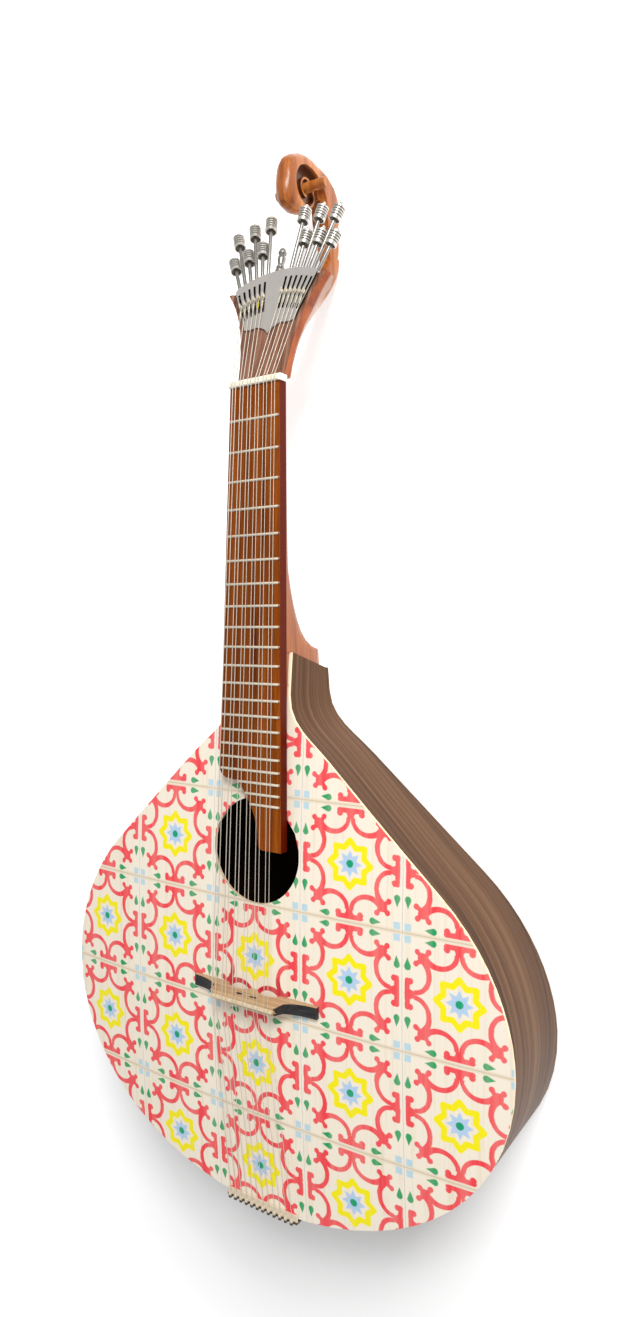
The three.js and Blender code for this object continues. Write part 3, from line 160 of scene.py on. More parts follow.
class Shader:
    """One material, built from expressions."""

    def __init__(self, name, roughness=0.5, metallic=0.0, specular=0.5):
        self.material = bpy.data.materials.new(name)
        self.material.use_nodes = True
        self.tree = self.material.node_tree
        self.bsdf = self.tree.nodes["Principled BSDF"]
        self.surface("Roughness", roughness)
        self.surface("Metallic", metallic)
        self.surface("Specular IOR Level", specular)

    def node(self, kind, **settings):
        made = self.tree.nodes.new(kind)
        for key, value in settings.items():
            setattr(made, key, value)
        return made

    def feed(self, value, socket):
        if isinstance(value, bpy.types.NodeSocket):
            self.tree.links.new(value, socket)
        else:
            socket.default_value = value

    def surface(self, name, value):
        """Feeds one of the surface's own sockets; a plain number holds all over it."""
        self.feed(value, self.bsdf.inputs[name])

    def math(self, operation, *values):
        made = self.node("ShaderNodeMath", operation=operation)
        for socket, value in zip(made.inputs, values):
            self.feed(value, socket)
        return made.outputs[0]

    def add(self, a, b):
        return self.math("ADD", a, b)

    def sub(self, a, b):
        return self.math("SUBTRACT", a, b)

    def mul(self, a, b):
        return self.math("MULTIPLY", a, b)

    def size(self, value):
        return self.math("ABSOLUTE", value)

    def length(self, x, y):
        return self.math("SQRT", self.add(self.mul(x, x), self.mul(y, y)))

    def shares(self, value, low, high, to_low=0.0, to_high=1.0, kind="LINEAR"):
        """Goes from to_low at low to to_high at high, and stays there beyond them."""
        made = self.node("ShaderNodeMapRange", interpolation_type=kind)
        self.feed(value, made.inputs["Value"])
        made.inputs["From Min"].default_value = low
        made.inputs["From Max"].default_value = high
        made.inputs["To Min"].default_value = to_low
        made.inputs["To Max"].default_value = to_high
        return made.outputs["Result"]

    def below(self, value, edge, soft):
        """1 where value is under edge, 0 over it, with a soft border."""
        return self.shares(value, edge - soft, edge + soft, 1.0, 0.0, kind="SMOOTHSTEP")

    def above(self, value, edge, soft):
        """1 where value is over edge, 0 under it, with a soft border."""
        return self.below(self.mul(value, -1.0), -edge, soft)

    def edge(self, value, off, on):
        """Mask of a length in metres: 0 at off and 1 at on, which are millimetres."""
        return self.shares(value, off * MM, on * MM)

    def band(self, value, low_off, low_on, high_on, high_off):
        """Mask of a length in metres: 1 between the inner two of four edges in millimetres."""
        return self.both(self.edge(value, low_off, low_on), self.edge(value, high_off, high_on))

    def either(self, *masks):
        best = masks[0]
        for mask in masks[1:]:
            best = self.math("MAXIMUM", best, mask)
        return best

    def both(self, *masks):
        least = masks[0]
        for mask in masks[1:]:
            least = self.math("MINIMUM", least, mask)
        return least

    def mix(self, share, a, b):
        """Colour a where share is 0, b where it is 1."""
        made = self.node("ShaderNodeMix", data_type="RGBA")
        self.feed(share, made.inputs[0])
        self.feed(a, made.inputs[6])
        self.feed(b, made.inputs[7])
        return made.outputs[2]

    def pick(self, share, a, b):
        """Number a where share is 0, b where it is 1."""
        made = self.node("ShaderNodeMix", data_type="FLOAT")
        self.feed(share, made.inputs[0])
        self.feed(a, made.inputs[2])
        self.feed(b, made.inputs[3])
        return made.outputs[0]

    def place(self):
        """The piece's own coordinates in metres."""
        return self.node("ShaderNodeTexCoord").outputs["Object"]

    def normal(self):
        """Where the face looks, as x, y and z."""
        return self.xyz(self.node("ShaderNodeNewGeometry").outputs["True Normal"])

    def xyz(self, vector):
        made = self.node("ShaderNodeSeparateXYZ")
        self.feed(vector, made.inputs[0])
        return made.outputs

    def stretched(self, vector, scale):
        made = self.node("ShaderNodeMapping")
        self.feed(vector, made.inputs["Vector"])
        made.inputs["Scale"].default_value = scale
        return made.outputs[0]

    def noise(self, vector, scale=1.0, detail=3.0, roughness=0.55, distortion=0.0):
        made = self.node("ShaderNodeTexNoise")
        self.feed(vector, made.inputs["Vector"])
        made.inputs["Scale"].default_value = scale
        made.inputs["Detail"].default_value = detail
        made.inputs["Roughness"].default_value = roughness
        made.inputs["Distortion"].default_value = distortion
        return made.outputs["Fac"]

    def ramp(self, value, dark, mid, light):
        """Colour ramp whose three colours are evenly spaced."""
        made = self.node("ShaderNodeValToRGB")
        self.feed(value, made.inputs[0])
        elements = made.color_ramp.elements
        elements.new(0.5)
        for element, where, colour in zip(elements, (0.0, 0.5, 1.0), (dark, mid, light)):
            element.position = where
            element.color = colour
        return made.outputs[0]

    def bump(self, height, depth, strength):
        """Relief of depth, in millimetres."""
        made = self.node("ShaderNodeBump")
        made.inputs["Strength"].default_value = strength
        made.inputs["Distance"].default_value = depth * MM
        self.feed(height, made.inputs["Height"])
        self.surface("Normal", made.outputs[0])

    def colour(self, value):
        self.surface("Base Color", value)

    def retint(self, share, colour):
        """Mixes another colour over what the base colour is so far."""
        self.colour(self.mix(share, self.bsdf.inputs["Base Color"].links[0].from_socket, colour))

    def roughness(self, value):
        self.surface("Roughness", value)

    def off_face(self, y, z):
        """The part of y and z that points out of the head's tilted face."""
        return self.add(self.mul(y, math.sin(TILT)), self.mul(z, math.cos(TILT)))

    def on_face(self):
        """Metres above the tuner plate's underside, and along the face from the plate's tip."""
        place = self.xyz(self.place())
        y, z = self.sub(place[1], FACE.translation.y), self.sub(place[2], FACE.translation.z)
        along = self.sub(self.mul(y, math.cos(TILT)), self.mul(z, math.sin(TILT)))
        return self.off_face(y, z), along

    def from_focus(self, along):
        """Metres out from the fan's focus, for a place along the head's face."""
        return self.length(self.xyz(self.place())[0], self.add(along, FOCUS * MM))

    def in_slots(self, out):
        """Mask of the stretch of the fan that the hooks' slots take up."""
        return self.band(out, FRAME_INNER - 1, FRAME_INNER, PLATE_TOP - 2, PLATE_TOP - 1)


def wood(
    name, light, mid, dark, along="Y", fine=420.0, long=5.0, roughness=0.42, coat=0.0, pores=0.5
):
    """Streaky wood: noise cells to a metre are fine across the grain and long along it."""
    s = Shader(name, roughness=roughness, specular=0.4)
    if coat:
        s.surface("Coat Weight", coat)
        s.surface("Coat Roughness", 0.18)
    place = s.place()

    def scale(across):
        return tuple(long if axis in along else across for axis in "XYZ")

    broad = s.noise(s.stretched(place, scale(fine * 0.16)), detail=4, distortion=0.4)
    streak = s.noise(s.stretched(place, scale(fine)), detail=5, roughness=0.6)
    pore = s.noise(s.stretched(place, tuple(v * 3 for v in scale(fine))), detail=2)
    tone = s.shares(s.add(s.mul(broad, 0.55), s.mul(streak, 0.45)), 0.33, 0.67)
    pored = s.shares(pore, 0.3, 0.42, 1.0, 0.0)
    s.colour(s.mix(s.mul(pored, pores), s.ramp(tone, dark, mid, light), dark))
    s.roughness(s.shares(streak, 0.3, 0.7, roughness + 0.08, roughness - 0.06))
    s.bump(s.add(streak, s.mul(pored, -0.6)), depth=0.12, strength=0.5)
    return s


def metal(
    name, tone, roughness, brushed=(1, 1, 1), fine=900.0, wear=0.12, relief=0.0, metallic=1.0
):
    """Metal with faint clouds and scratches; relief is the strength of its bump."""
    s = Shader(name, roughness=roughness, metallic=metallic)
    place = s.place()
    scratch = s.noise(s.stretched(place, tuple(fine * v for v in brushed)), detail=4)
    cloud = s.noise(place, scale=120.0, detail=2)
    dark = tuple(v * (1.0 - wear) for v in tone[:3]) + (1.0,)
    s.colour(s.mix(s.shares(s.add(s.mul(scratch, 0.5), s.mul(cloud, 0.5)), 0.32, 0.7), dark, tone))
    s.roughness(s.shares(scratch, 0.25, 0.75, roughness - 0.04, roughness + 0.07))
    if relief:
        s.bump(scratch, depth=0.03, strength=relief)
    return s


def plain(name, colour, darker, roughness, scale=300.0):
    """Bone, silk and the like: one colour with a slight cloud and fine grain."""
    s = Shader(name, roughness=roughness)
    cloud = s.noise(s.place(), scale=scale, detail=4)
    s.colour(s.mix(s.shares(cloud, 0.35, 0.7), colour, darker))
    s.roughness(s.shares(cloud, 0.3, 0.7, roughness - 0.05, roughness + 0.08))
    s.bump(cloud, depth=0.04, strength=0.3)
    return s


def plate_metal():
    """Satin plate of the tuning machine; its slots and the frame under it are painted dark as shade.
    """
    tone = linear(194, 189, 182)
    slot_shade_tone = linear(12, 10, 9)
    metallic = 0.5
    floor_below, floor_above = -1.35, -1.1

    s = metal("satin_nickel_looks", tone, 0.5, brushed=(3.0, 0.12, 3.0), fine=500.0, relief=0.3)
    depth, along = s.on_face()
    normal = s.normal()
    facing = s.off_face(normal[1], normal[2])
    # Painted shade: the slots' walls and the frame under the plate are near-black and lose their
    # metal look.
    wall = s.both(s.shares(facing, 0.6, 0.4), s.in_slots(s.from_focus(along)))
    deep = s.either(s.edge(depth, floor_above, floor_below), wall)
    s.retint(deep, slot_shade_tone)
    s.surface("Metallic", s.mul(s.sub(1.0, deep), metallic))
    return s


def tail_metal():
    """Dark tailpiece, lighter and less metallic on its flange."""
    dark = linear(112, 98, 80)
    bright = linear(232, 218, 194)
    metallic = 0.7
    flange_starts, flange_ends = TAIL_Y - 0.2, TAIL_Y + 0.6

    s = metal("dark_metal_looks", dark, 0.4, fine=400.0, wear=0.3, relief=0.2, metallic=metallic)
    lighter_flange = s.shares(s.xyz(s.place())[1], at(0, flange_starts, 0).y, at(0, flange_ends, 0).y)
    s.retint(s.mul(lighter_flange, 0.9), bright)
    s.surface("Metallic", s.mul(s.sub(1.0, lighter_flange), metallic))
    return s


# The tile's ornament, in shares of the tile's side from its middle. p is the larger and q the
# smaller of the distances from the middle along the tile's two sides, so what is drawn once shows
# eight times. A stroke is its two ends and half its width; a disc is its middle and radius.
INK_EDGE = 0.0045
BAR = ((0.4525, 0.0), (0.4525, 0.112), 0.0225)
BAR_HOOK = ((0.4265, 0.107), 0.028)
STEM_ENDS = (0.383, 0.455)
STEM_HALF = 0.033
STEM_FLARE = 14.0
STEM_FLARE_STARTS = 0.40
ARC_MIDDLE = (0.39, 0.17)
ARC_RADII = (0.13, 0.15)
ARC_MEAN_RADIUS = 0.138
ARC_HALF = 0.0185
ARC_HALF_GROWTH = 0.034
ARC_ENDS = 0.392
ARC_OPENING = (0.33, 0.2)
BUD_STROKES = (((0.315, 0.315), (0.36, 0.36), 0.0215), ((0.32, 0.30), (0.374, 0.268), 0.0195))
BUD_DISCS = (((0.316, 0.316), 0.046), ((0.363, 0.363), 0.025), ((0.375, 0.265), 0.0255))
STAR_OUTLINE = ((0.2, 0.0), (0.136, 0.0563), 0.0265)
STAR_TIP = (0.118, 0.0)
STAR_NOTCH = (0.064, 0.0265)
HEART_RADIUS = 0.034
DROP = ((0.451, 0.2235), 0.0285)
DROP_TIP = 0.302
DROP_TAPER = 0.40
DROP_TAPER_SPAN = (0.232, 0.3)
CORNER_SQUARE = 0.451
CORNER_SQUARE_HALF = 0.03


def disc(s, x, y, middle, radius):
    return s.below(s.length(s.sub(x, middle[0]), s.sub(y, middle[1])), radius, INK_EDGE)


def stroke(s, x, y, start, end, half):
    """A straight stroke with round ends."""
    dx, dy = s.sub(x, start[0]), s.sub(y, start[1])
    run_x, run_y = end[0] - start[0], end[1] - start[1]
    square = run_x * run_x + run_y * run_y
    along = s.add(s.mul(dx, run_x / square), s.mul(dy, run_y / square))
    along = s.math("MINIMUM", s.math("MAXIMUM", along, 0.0), 1.0)
    off = s.length(s.sub(dx, s.mul(along, run_x)), s.sub(dy, s.mul(along, run_y)))
    return s.below(off, half, INK_EDGE)


def red_scrolls(s, p, q):
    """A bar with hooked ends, its stem, the arc to the bud, and the bud."""
    flare = s.math("MAXIMUM", s.sub(p, STEM_FLARE_STARTS), 0.0)
    stem_half = s.add(s.mul(s.mul(flare, flare), STEM_FLARE), STEM_HALF)
    stem = s.both(
        s.below(s.sub(q, stem_half), 0.0, INK_EDGE),
        s.above(p, STEM_ENDS[0], INK_EDGE),
        s.below(p, STEM_ENDS[1], INK_EDGE),
    )
    arc_p = s.mul(s.sub(p, ARC_MIDDLE[0]), 1 / ARC_RADII[0])
    arc_q = s.mul(s.sub(q, ARC_MIDDLE[1]), 1 / ARC_RADII[1])
    off = s.size(s.mul(s.sub(s.length(arc_p, arc_q), 1.0), ARC_MEAN_RADIUS))
    arc_half = s.add(s.mul(q, ARC_HALF_GROWTH), ARC_HALF)
    open_end = s.either(s.below(p, ARC_OPENING[0], INK_EDGE), s.below(q, ARC_OPENING[1], INK_EDGE))
    arc = s.both(
        s.below(s.sub(off, arc_half), 0.0, INK_EDGE), s.below(p, ARC_ENDS, INK_EDGE), open_end
    )
    bud = [stroke(s, p, q, *form) for form in BUD_STROKES]
    bud += [disc(s, p, q, *form) for form in BUD_DISCS]
    return s.either(stroke(s, p, q, *BAR), disc(s, p, q, *BAR_HOOK), stem, arc, *bud)


def star_forms(s, p, q, radius):
    """Masks of the eight-pointed outline, and of the star inside it, drawn in half of an eighth."""
    angle = s.math("ARCTAN2", q, p)
    folded = s.math("MINIMUM", angle, s.sub(math.pi / 4, angle))
    x, y = s.mul(radius, s.math("COSINE", folded)), s.mul(radius, s.math("SINE", folded))
    run_x, run_y = STAR_NOTCH[0] - STAR_TIP[0], STAR_NOTCH[1] - STAR_TIP[1]
    run = math.hypot(run_x, run_y)
    off = s.add(
        s.mul(s.sub(x, STAR_TIP[0]), run_y / run), s.mul(s.sub(y, STAR_TIP[1]), -run_x / run)
    )
    return stroke(s, x, y, *STAR_OUTLINE), s.below(off, 0.0, INK_EDGE)


def green_drop(s, p, q):
    """One of the pair of drops beside a joint: a disc that runs out in a straight taper."""
    half = s.mul(s.sub(DROP_TIP, q), DROP_TAPER)
    taper = s.both(
        s.below(s.sub(s.size(s.sub(p, DROP[0][0])), half), 0.0, INK_EDGE),
        s.above(q, DROP_TAPER_SPAN[0], INK_EDGE),
        s.below(q, DROP_TAPER_SPAN[1], INK_EDGE),
    )
    return s.either(disc(s, p, q, *DROP), taper)


def corner_square(s, p, q):
    """Light squares round each corner of the tiles."""
    off = s.math("MAXIMUM", s.size(s.sub(p, CORNER_SQUARE)), s.size(s.sub(q, CORNER_SQUARE)))
    return s.below(off, CORNER_SQUARE_HALF, INK_EDGE)


def spruce_ground(s, lines, across, down, outer):
    """Spruce between the ornaments: the joints of the tiles show as faint bands and a thin line."""
    ground = s.mix(s.mul(lines, 0.42), linear(249, 238, 219), linear(226, 204, 168))
    for from_middle_line, half, border, share, tint in (
        (down, 0.017, 0.012, 0.55, (224, 203, 170)),
        (across, 0.020, 0.010, 0.35, (247, 241, 233)),
        (outer, 0.0028, 0.002, 0.55, (176, 160, 132)),
    ):
        near = s.below(s.sub(0.5, from_middle_line), half, border)
        ground = s.mix(s.mul(near, share), ground, linear(*tint))
    return ground


def tiled_spruce():
    """Spruce soundboard with a printed pattern of ornamental tiles, and bare wood at its edges."""
    red, red_in_shade = linear(247, 66, 76), linear(206, 16, 44)
    yellow = linear(252, 238, 0)
    petal_blue, petal_lilac = linear(172, 214, 238), linear(196, 208, 238)
    heart_green, drop_green = linear(6, 160, 112), linear(20, 160, 92)
    corner_blue = linear(178, 216, 232)
    show_through = linear(245, 232, 212)
    bare_light, bare_dark = linear(246, 222, 184), linear(205, 168, 120)
    bridge_shade_y = (-12.0, -9.0, 0.5, 4.0)
    bridge_shade_half = (35.0, 40.0)
    wobble_share = 0.006

    s = Shader("tiled_spruce_looks", roughness=0.46, specular=0.35)
    place = s.place()
    x, y = s.xyz(place)[0], s.xyz(place)[1]
    tiles_per_metre = 1 / (TILE * MM)
    across = s.math("WRAP", s.mul(x, tiles_per_metre), 0.5, -0.5)
    down = s.math("WRAP", s.mul(s.sub(y, (TILE_Y + ORIGIN_Y) * MM), tiles_per_metre), 0.5, -0.5)
    wobble = s.noise(place, scale=260.0, detail=1)
    across = s.size(s.add(across, s.shares(wobble, 0.0, 1.0, -wobble_share, wobble_share)))
    down = s.size(down)
    p = s.math("MAXIMUM", across, down)
    q = s.math("MINIMUM", across, down)
    radius = s.length(p, q)

    # Fine grain runs along the strings.
    grain = s.noise(s.stretched(place, (620.0, 4.0, 620.0)), detail=4)
    rings = s.noise(s.stretched(place, (150.0, 1.6, 150.0)), detail=2)
    lines = s.shares(s.add(s.mul(grain, 0.6), s.mul(rings, 0.4)), 0.5, 0.68)
    ground = spruce_ground(s, lines, across, down, p)

    # Ink over the wood, weaker over some rings. Its red turns crimson in a band by the bridge:
    # painted shade.
    low_off, low_on, high_on, high_off = (at(0, edge, 0).y for edge in bridge_shade_y)
    shade = s.both(
        s.shares(y, low_off, low_on),
        s.shares(y, high_off, high_on),
        s.edge(s.size(x), bridge_shade_half[1], bridge_shade_half[0]),
    )
    fade = s.shares(rings, 0.35, 0.65, 0.86, 1.0)
    petals = s.mix(
        s.shares(s.noise(place, scale=420.0, detail=1), 0.35, 0.65), petal_blue, petal_lilac
    )
    outline, star = star_forms(s, p, q, radius)
    ink = ground
    for mask, colour in (
        (s.mul(red_scrolls(s, p, q), fade), s.mix(shade, red, red_in_shade)),
        (outline, yellow),
        (star, petals),
        (s.below(radius, HEART_RADIUS, INK_EDGE), heart_green),
        (s.mul(green_drop(s, p, q), fade), drop_green),
        (s.mul(corner_square(s, p, q), s.mul(fade, 0.9)), corner_blue),
        (s.mul(s.shares(grain, 0.55, 0.72), 0.10), show_through),
    ):
        ink = s.mix(mask, ink, colour)

    # Only the upper face is printed, up to the neck's end: the edge, the sound hole's rim and the
    # inside are bare.
    print_end = PRINT_TOP + ORIGIN_Y
    top_looks = s.mix(s.edge(y, print_end + 1.0, print_end), ground, ink)
    up = s.shares(s.normal()[2], 0.6, 0.8)
    s.colour(s.mix(up, s.mix(lines, bare_light, bare_dark), top_looks))
    s.roughness(s.shares(grain, 0.3, 0.7, 0.5, 0.4))
    s.bump(grain, depth=0.06, strength=0.35)
    return s


def fretboard_wood():
    """Streaked orange-brown board whose long sides are polished to a deep red."""
    light, mid, dark = linear(166, 88, 22), linear(132, 64, 10), linear(78, 32, 7)
    deep_red = linear(92, 20, 0)

    s = wood("fretboard_looks", light, mid, dark, fine=860.0, roughness=0.45, pores=0.45)
    s.retint(s.shares(s.size(s.normal()[0]), 0.5, 0.7), deep_red)
    s.surface("Specular IOR Level", 0.08)
    return s


def bridge_wood():
    """Tan bridge whose wing tops are black, and whose eye cuts are painted black as shade."""
    tan, tan_dark = linear(206, 176, 138), linear(164, 130, 94)
    black, black_light = linear(26, 24, 24), linear(52, 50, 52)
    wing_starts = (28.8, 29.2)
    eye_across = (2.4, 2.6, 10.5, 10.7)
    eye_height = [ORIGIN_Z + edge for edge in (9.1, 9.2, 11.6, 11.7)]

    s = Shader("bridge_looks", roughness=0.42, specular=0.4)
    place = s.place()
    grain = s.noise(s.stretched(place, (9.0, 500.0, 500.0)), detail=4)
    wood_tone = s.mix(s.shares(grain, 0.35, 0.68), tan, tan_dark)
    black_and_shade_tone = s.mix(s.shares(grain, 0.35, 0.7), black, black_light)
    x = s.size(s.xyz(place)[0])
    not_upright = s.shares(s.size(s.normal()[1]), 0.8, 0.9, 1.0, 0.0)
    wing = s.both(s.edge(x, *wing_starts), not_upright)
    # The eye cuts take the black as painted shade; the wing tops are black wood.
    eye = s.both(s.band(x, *eye_across), s.band(s.xyz(place)[2], *eye_height), not_upright)
    s.colour(s.mix(s.either(wing, eye), wood_tone, black_and_shade_tone))
    s.roughness(s.shares(grain, 0.3, 0.7, 0.36, 0.5))
    s.bump(grain, depth=0.08, strength=0.4)
    return s


def walnut():
    """Straight-grained brown sides and back; the streaks run along the ribs and down the back."""
    dark, mid, light = linear(60, 36, 20), linear(95, 62, 36), linear(128, 92, 60)
    pore_tone = linear(70, 46, 32)
    seam_tone = linear(206, 172, 126)
    inside_shade_tone = linear(30, 20, 14)
    rib_slope = 0.062
    seam_half, seam_edge = 1.1 * MM, 0.1 * MM

    s = Shader("walnut_looks", roughness=0.5, specular=0.15)
    place = s.place()
    up = s.normal()[2]
    flat = s.shares(s.size(up), 0.6, 0.8)
    x, y, z = s.xyz(place)
    rib = s.node("ShaderNodeCombineXYZ")
    sloped = s.add(z, s.mul(y, rib_slope))
    for socket, value in zip(rib.inputs, (s.mul(x, 3.5), s.mul(y, 3.5), s.mul(sloped, 330.0))):
        s.feed(value, socket)
    plate = s.stretched(place, (330.0, 3.0, 330.0))

    def layers(vector):
        broad = s.noise(vector, scale=0.22, detail=3, distortion=0.2)
        fine = s.noise(vector, scale=1.0, detail=5, roughness=0.62)
        return s.add(s.mul(broad, 0.5), s.mul(fine, 0.5)), s.noise(vector, scale=3.4, detail=2)

    rib_tone, rib_pore = layers(rib.outputs[0])
    plate_tone, plate_pore = layers(plate)
    tone = s.pick(flat, rib_tone, plate_tone)
    pore = s.shares(s.pick(flat, rib_pore, plate_pore), 0.32, 0.44, 1.0, 0.0)
    colour = s.ramp(s.shares(tone, 0.35, 0.65), dark, mid, light)
    colour = s.mix(s.mul(pore, 0.4), colour, pore_tone)
    colour = s.mix(s.both(s.below(s.size(x), seam_half, seam_edge), flat), colour, seam_tone)
    # Faces that look up, the back's inside, are painted near-black as the shade inside the body.
    s.colour(s.mix(s.shares(up, 0.5, 0.7), colour, inside_shade_tone))
    s.roughness(s.shares(tone, 0.3, 0.7, 0.5, 0.38))
    s.bump(s.add(tone, s.mul(pore, -0.5)), depth=0.1, strength=0.45)
    return s


def head_wood():
    """Carved head: brown face, orange sides, a painted highlight below them, and golden varnish
    whose hollows and pocket are painted dark as shade.
    """
    golden = linear(208, 136, 72), linear(170, 96, 42), linear(104, 46, 16)
    brown = linear(90, 54, 38), linear(134, 91, 70), linear(166, 122, 99)
    orange, orange_dark = linear(176, 84, 8), linear(132, 50, 2)
    highlight_tone = linear(204, 176, 160)
    hollow_shade_tone = linear(58, 18, 5)
    pocket_shade_tone = linear(12, 8, 6)
    face_depth, face_end = (-9.0, -8.0), (62.0, 58.0)
    side_depth, side_end = (-16.5, -14.5), (64.0, 60.0)
    strip_slope, strip_depth, strip_edge, strip_end = 0.128, -12.8, (0.8, -0.8), (60.0, 45.0)
    hollow_half, hollow_radii = (8.2, 5.0), (9.2, 9.7, 19.5, 20.3)
    core_half, core_radii = (4.5, 4.1), (4.2, 4.6, 9.2, 9.7)
    pocket_depth = (-9.5, -9.0, -1.8, -1.4)

    s = wood("head_looks", *golden, fine=200.0, long=9.0, roughness=0.3, coat=0.2, pores=0.3)
    s.surface("Specular IOR Level", 0.25)
    place = s.place()
    x, y, z = s.xyz(place)
    depth, along = s.on_face()
    normal = s.normal()
    facing = s.off_face(normal[1], normal[2])
    streak = s.noise(s.stretched(place, (330.0, 9.0, 60.0)), detail=4)

    # The flat face is brown. Its sides are orange, down to a painted highlight: a light strip that
    # widens to the volute.
    front = s.both(
        s.shares(facing, 0.9, 0.95), s.edge(depth, *face_depth), s.edge(along, *face_end)
    )
    s.retint(front, s.ramp(s.shares(streak, 0.33, 0.67), *brown))
    sideways = s.shares(s.size(normal[0]), 0.6, 0.8)
    side = s.both(sideways, s.edge(depth, *side_depth), s.edge(along, *side_end))
    s.retint(side, s.mix(s.shares(streak, 0.3, 0.7), orange, orange_dark))
    below_strip = s.sub(depth, s.add(s.mul(along, strip_slope), strip_depth * MM))
    under = s.both(s.edge(below_strip, *strip_edge), s.edge(along, *strip_end))
    s.retint(s.mul(under, 0.8), highlight_tone)

    # Painted shade in the volute's hollow round its inner ring, and in the ring's own hollow round
    # the peg.
    eye = at(0, *VOLUTE_EYE)
    radius = s.length(s.sub(y, eye.y), s.sub(z, eye.z))
    off_middle = s.size(x)
    hollow = s.both(s.edge(off_middle, *hollow_half), s.band(radius, *hollow_radii))
    core = s.both(s.edge(off_middle, *core_half), s.band(radius, *core_radii))
    s.retint(s.mul(s.either(hollow, core), 0.85), hollow_shade_tone)

    # Painted shade in the pocket under the tuner plate.
    swing = s.size(s.math("ARCTAN2", x, s.add(along, FOCUS * MM)))
    pocket = s.both(
        s.band(depth, *pocket_depth),
        s.in_slots(s.from_focus(along)),
        s.shares(swing, POCKET_HALF + 0.02, POCKET_HALF + 0.01),
    )
    s.retint(pocket, pocket_shade_tone)
    return s


def cedar_inside():
    """Bare blocks, linings and braces."""
    light, mid, dark = linear(222, 184, 136), linear(196, 150, 102), linear(160, 112, 70)
    return wood("bare_cedar_looks", light, mid, dark, along="XY", fine=300.0, roughness=0.6)


def neck_wood():
    light, mid, dark = linear(184, 112, 58), linear(156, 84, 36), linear(112, 52, 20)
    return wood("neck_looks", light, mid, dark, fine=330.0, coat=0.08, pores=0.3)


# A darker copy of the bone, for the saddle: painted shade.
SHADED_BONE = plain("shaded_bone_looks", linear(234, 216, 184), linear(214, 192, 156), 0.45).material
SHANK = metal("shank_looks", linear(156, 153, 147), 0.3, fine=300.0, metallic=0.75).material
# Painted shade in the knobs' grooves: a dull, darker nickel.
GROOVE_SHADE_TONE = linear(142, 137, 128)
GROOVE_SHADE = metal("groove_shade_looks", GROOVE_SHADE_TONE, 0.55, fine=300.0, wear=0.25, metallic=0.3).material
GILT = metal("gilt_looks", linear(240, 231, 210), 0.4, fine=200.0, wear=0.15, metallic=0.4).material
SILK = plain("silk_looks", linear(236, 214, 60), linear(206, 176, 30), 0.6, scale=900.0).material
BLACKENED = metal("blackened_looks", linear(52, 47, 42), 0.4, fine=300.0, wear=0.3).material
FRET_TONE = linear(236, 227, 206)
FRET_METAL = metal("fret_looks", FRET_TONE, 0.3, fine=200.0, wear=0.08, metallic=0.35).material
STEEL_TONE = linear(228, 218, 203)
STEEL = metal("steel_looks", STEEL_TONE, 0.36, fine=60.0, wear=0.06, metallic=0.45).material
NICKEL = metal("nickel_looks", linear(216, 212, 204), 0.3, fine=300.0, metallic=0.75).material
BONE = plain("bone_looks", linear(250, 246, 232), linear(238, 230, 206), 0.35).material

# The look of each of the record's material slots.
LOOKS = {
    "tiled_spruce": tiled_spruce().material,
    "walnut": walnut().material,
    "bare_cedar": cedar_inside().material,
    "neck_cedar": neck_wood().material,
    "rosewood": fretboard_wood().material,
    "bone": BONE,
    "varnished_maple": head_wood().material,
    "satin_nickel": plate_metal().material,
    "nickel": NICKEL,
    "steel": STEEL,
    "bridge_wood": bridge_wood().material,
    "dark_metal": tail_metal().material,
}


def slot_of(node):
    """The record's slot, which the loaded material of a node is named after."""
    return nodes[node].data.materials[0].name.split(".")[0]


SLOTS = {name: slot_of(name) for name in nodes}
for name, node in nodes.items():
    node.data.materials[0] = LOOKS[SLOTS[name]]
# The saddle takes the darker copy of the bone, as painted shade.
nodes["saddle"].data.materials[0] = SHADED_BONE


# Pieces


def piece(name, form, material, body, smooth=30.0):
    """A mesh object of form's vertices and faces. It rides on a body, if one is given."""
    verts, faces = form
    mesh = bpy.data.meshes.new(name)
    mesh.from_pydata([tuple(v) for v in verts], [], faces)
    mesh.validate()
    made = bpy.data.objects.new(name, mesh)
    bpy.context.scene.collection.objects.link(made)
    work = bmesh.new()
    work.from_mesh(mesh)
    bmesh.ops.remove_doubles(work, verts=work.verts, dist=MERGE)
    bmesh.ops.recalc_face_normals(work, faces=work.faces)
    work.to_mesh(mesh)
    work.free()
    mesh.materials.append(material)
    mesh.polygons.foreach_set("use_smooth", [True] * len(mesh.polygons))
    mesh.set_sharp_from_angle(angle=math.radians(smooth))
    if body:
        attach(made, body)
    return made


def lathe(profile, matrix, sides):
    """Turned form: a profile of (radius, y) about matrix's y axis, closed at both ends."""
    verts, faces = [], []
    rings = []
    for radius, y in profile:
        count = sides if radius else 1
        rings.append(list(range(len(verts), len(verts) + count)))
        for i in range(count):
            a = 2 * math.pi * i / sides
            verts.append(matrix @ Vector((radius * math.cos(a), y, radius * math.sin(a))))
    for low, high in zip(rings, rings[1:]):
        for i in range(sides):
            j = (i + 1) % sides
            ring = [low[i % len(low)], low[j % len(low)], high[j % len(high)], high[i % len(high)]]
            face = list(dict.fromkeys(ring))
            if len(face) > 2:
                faces.append(face)
    return verts, faces


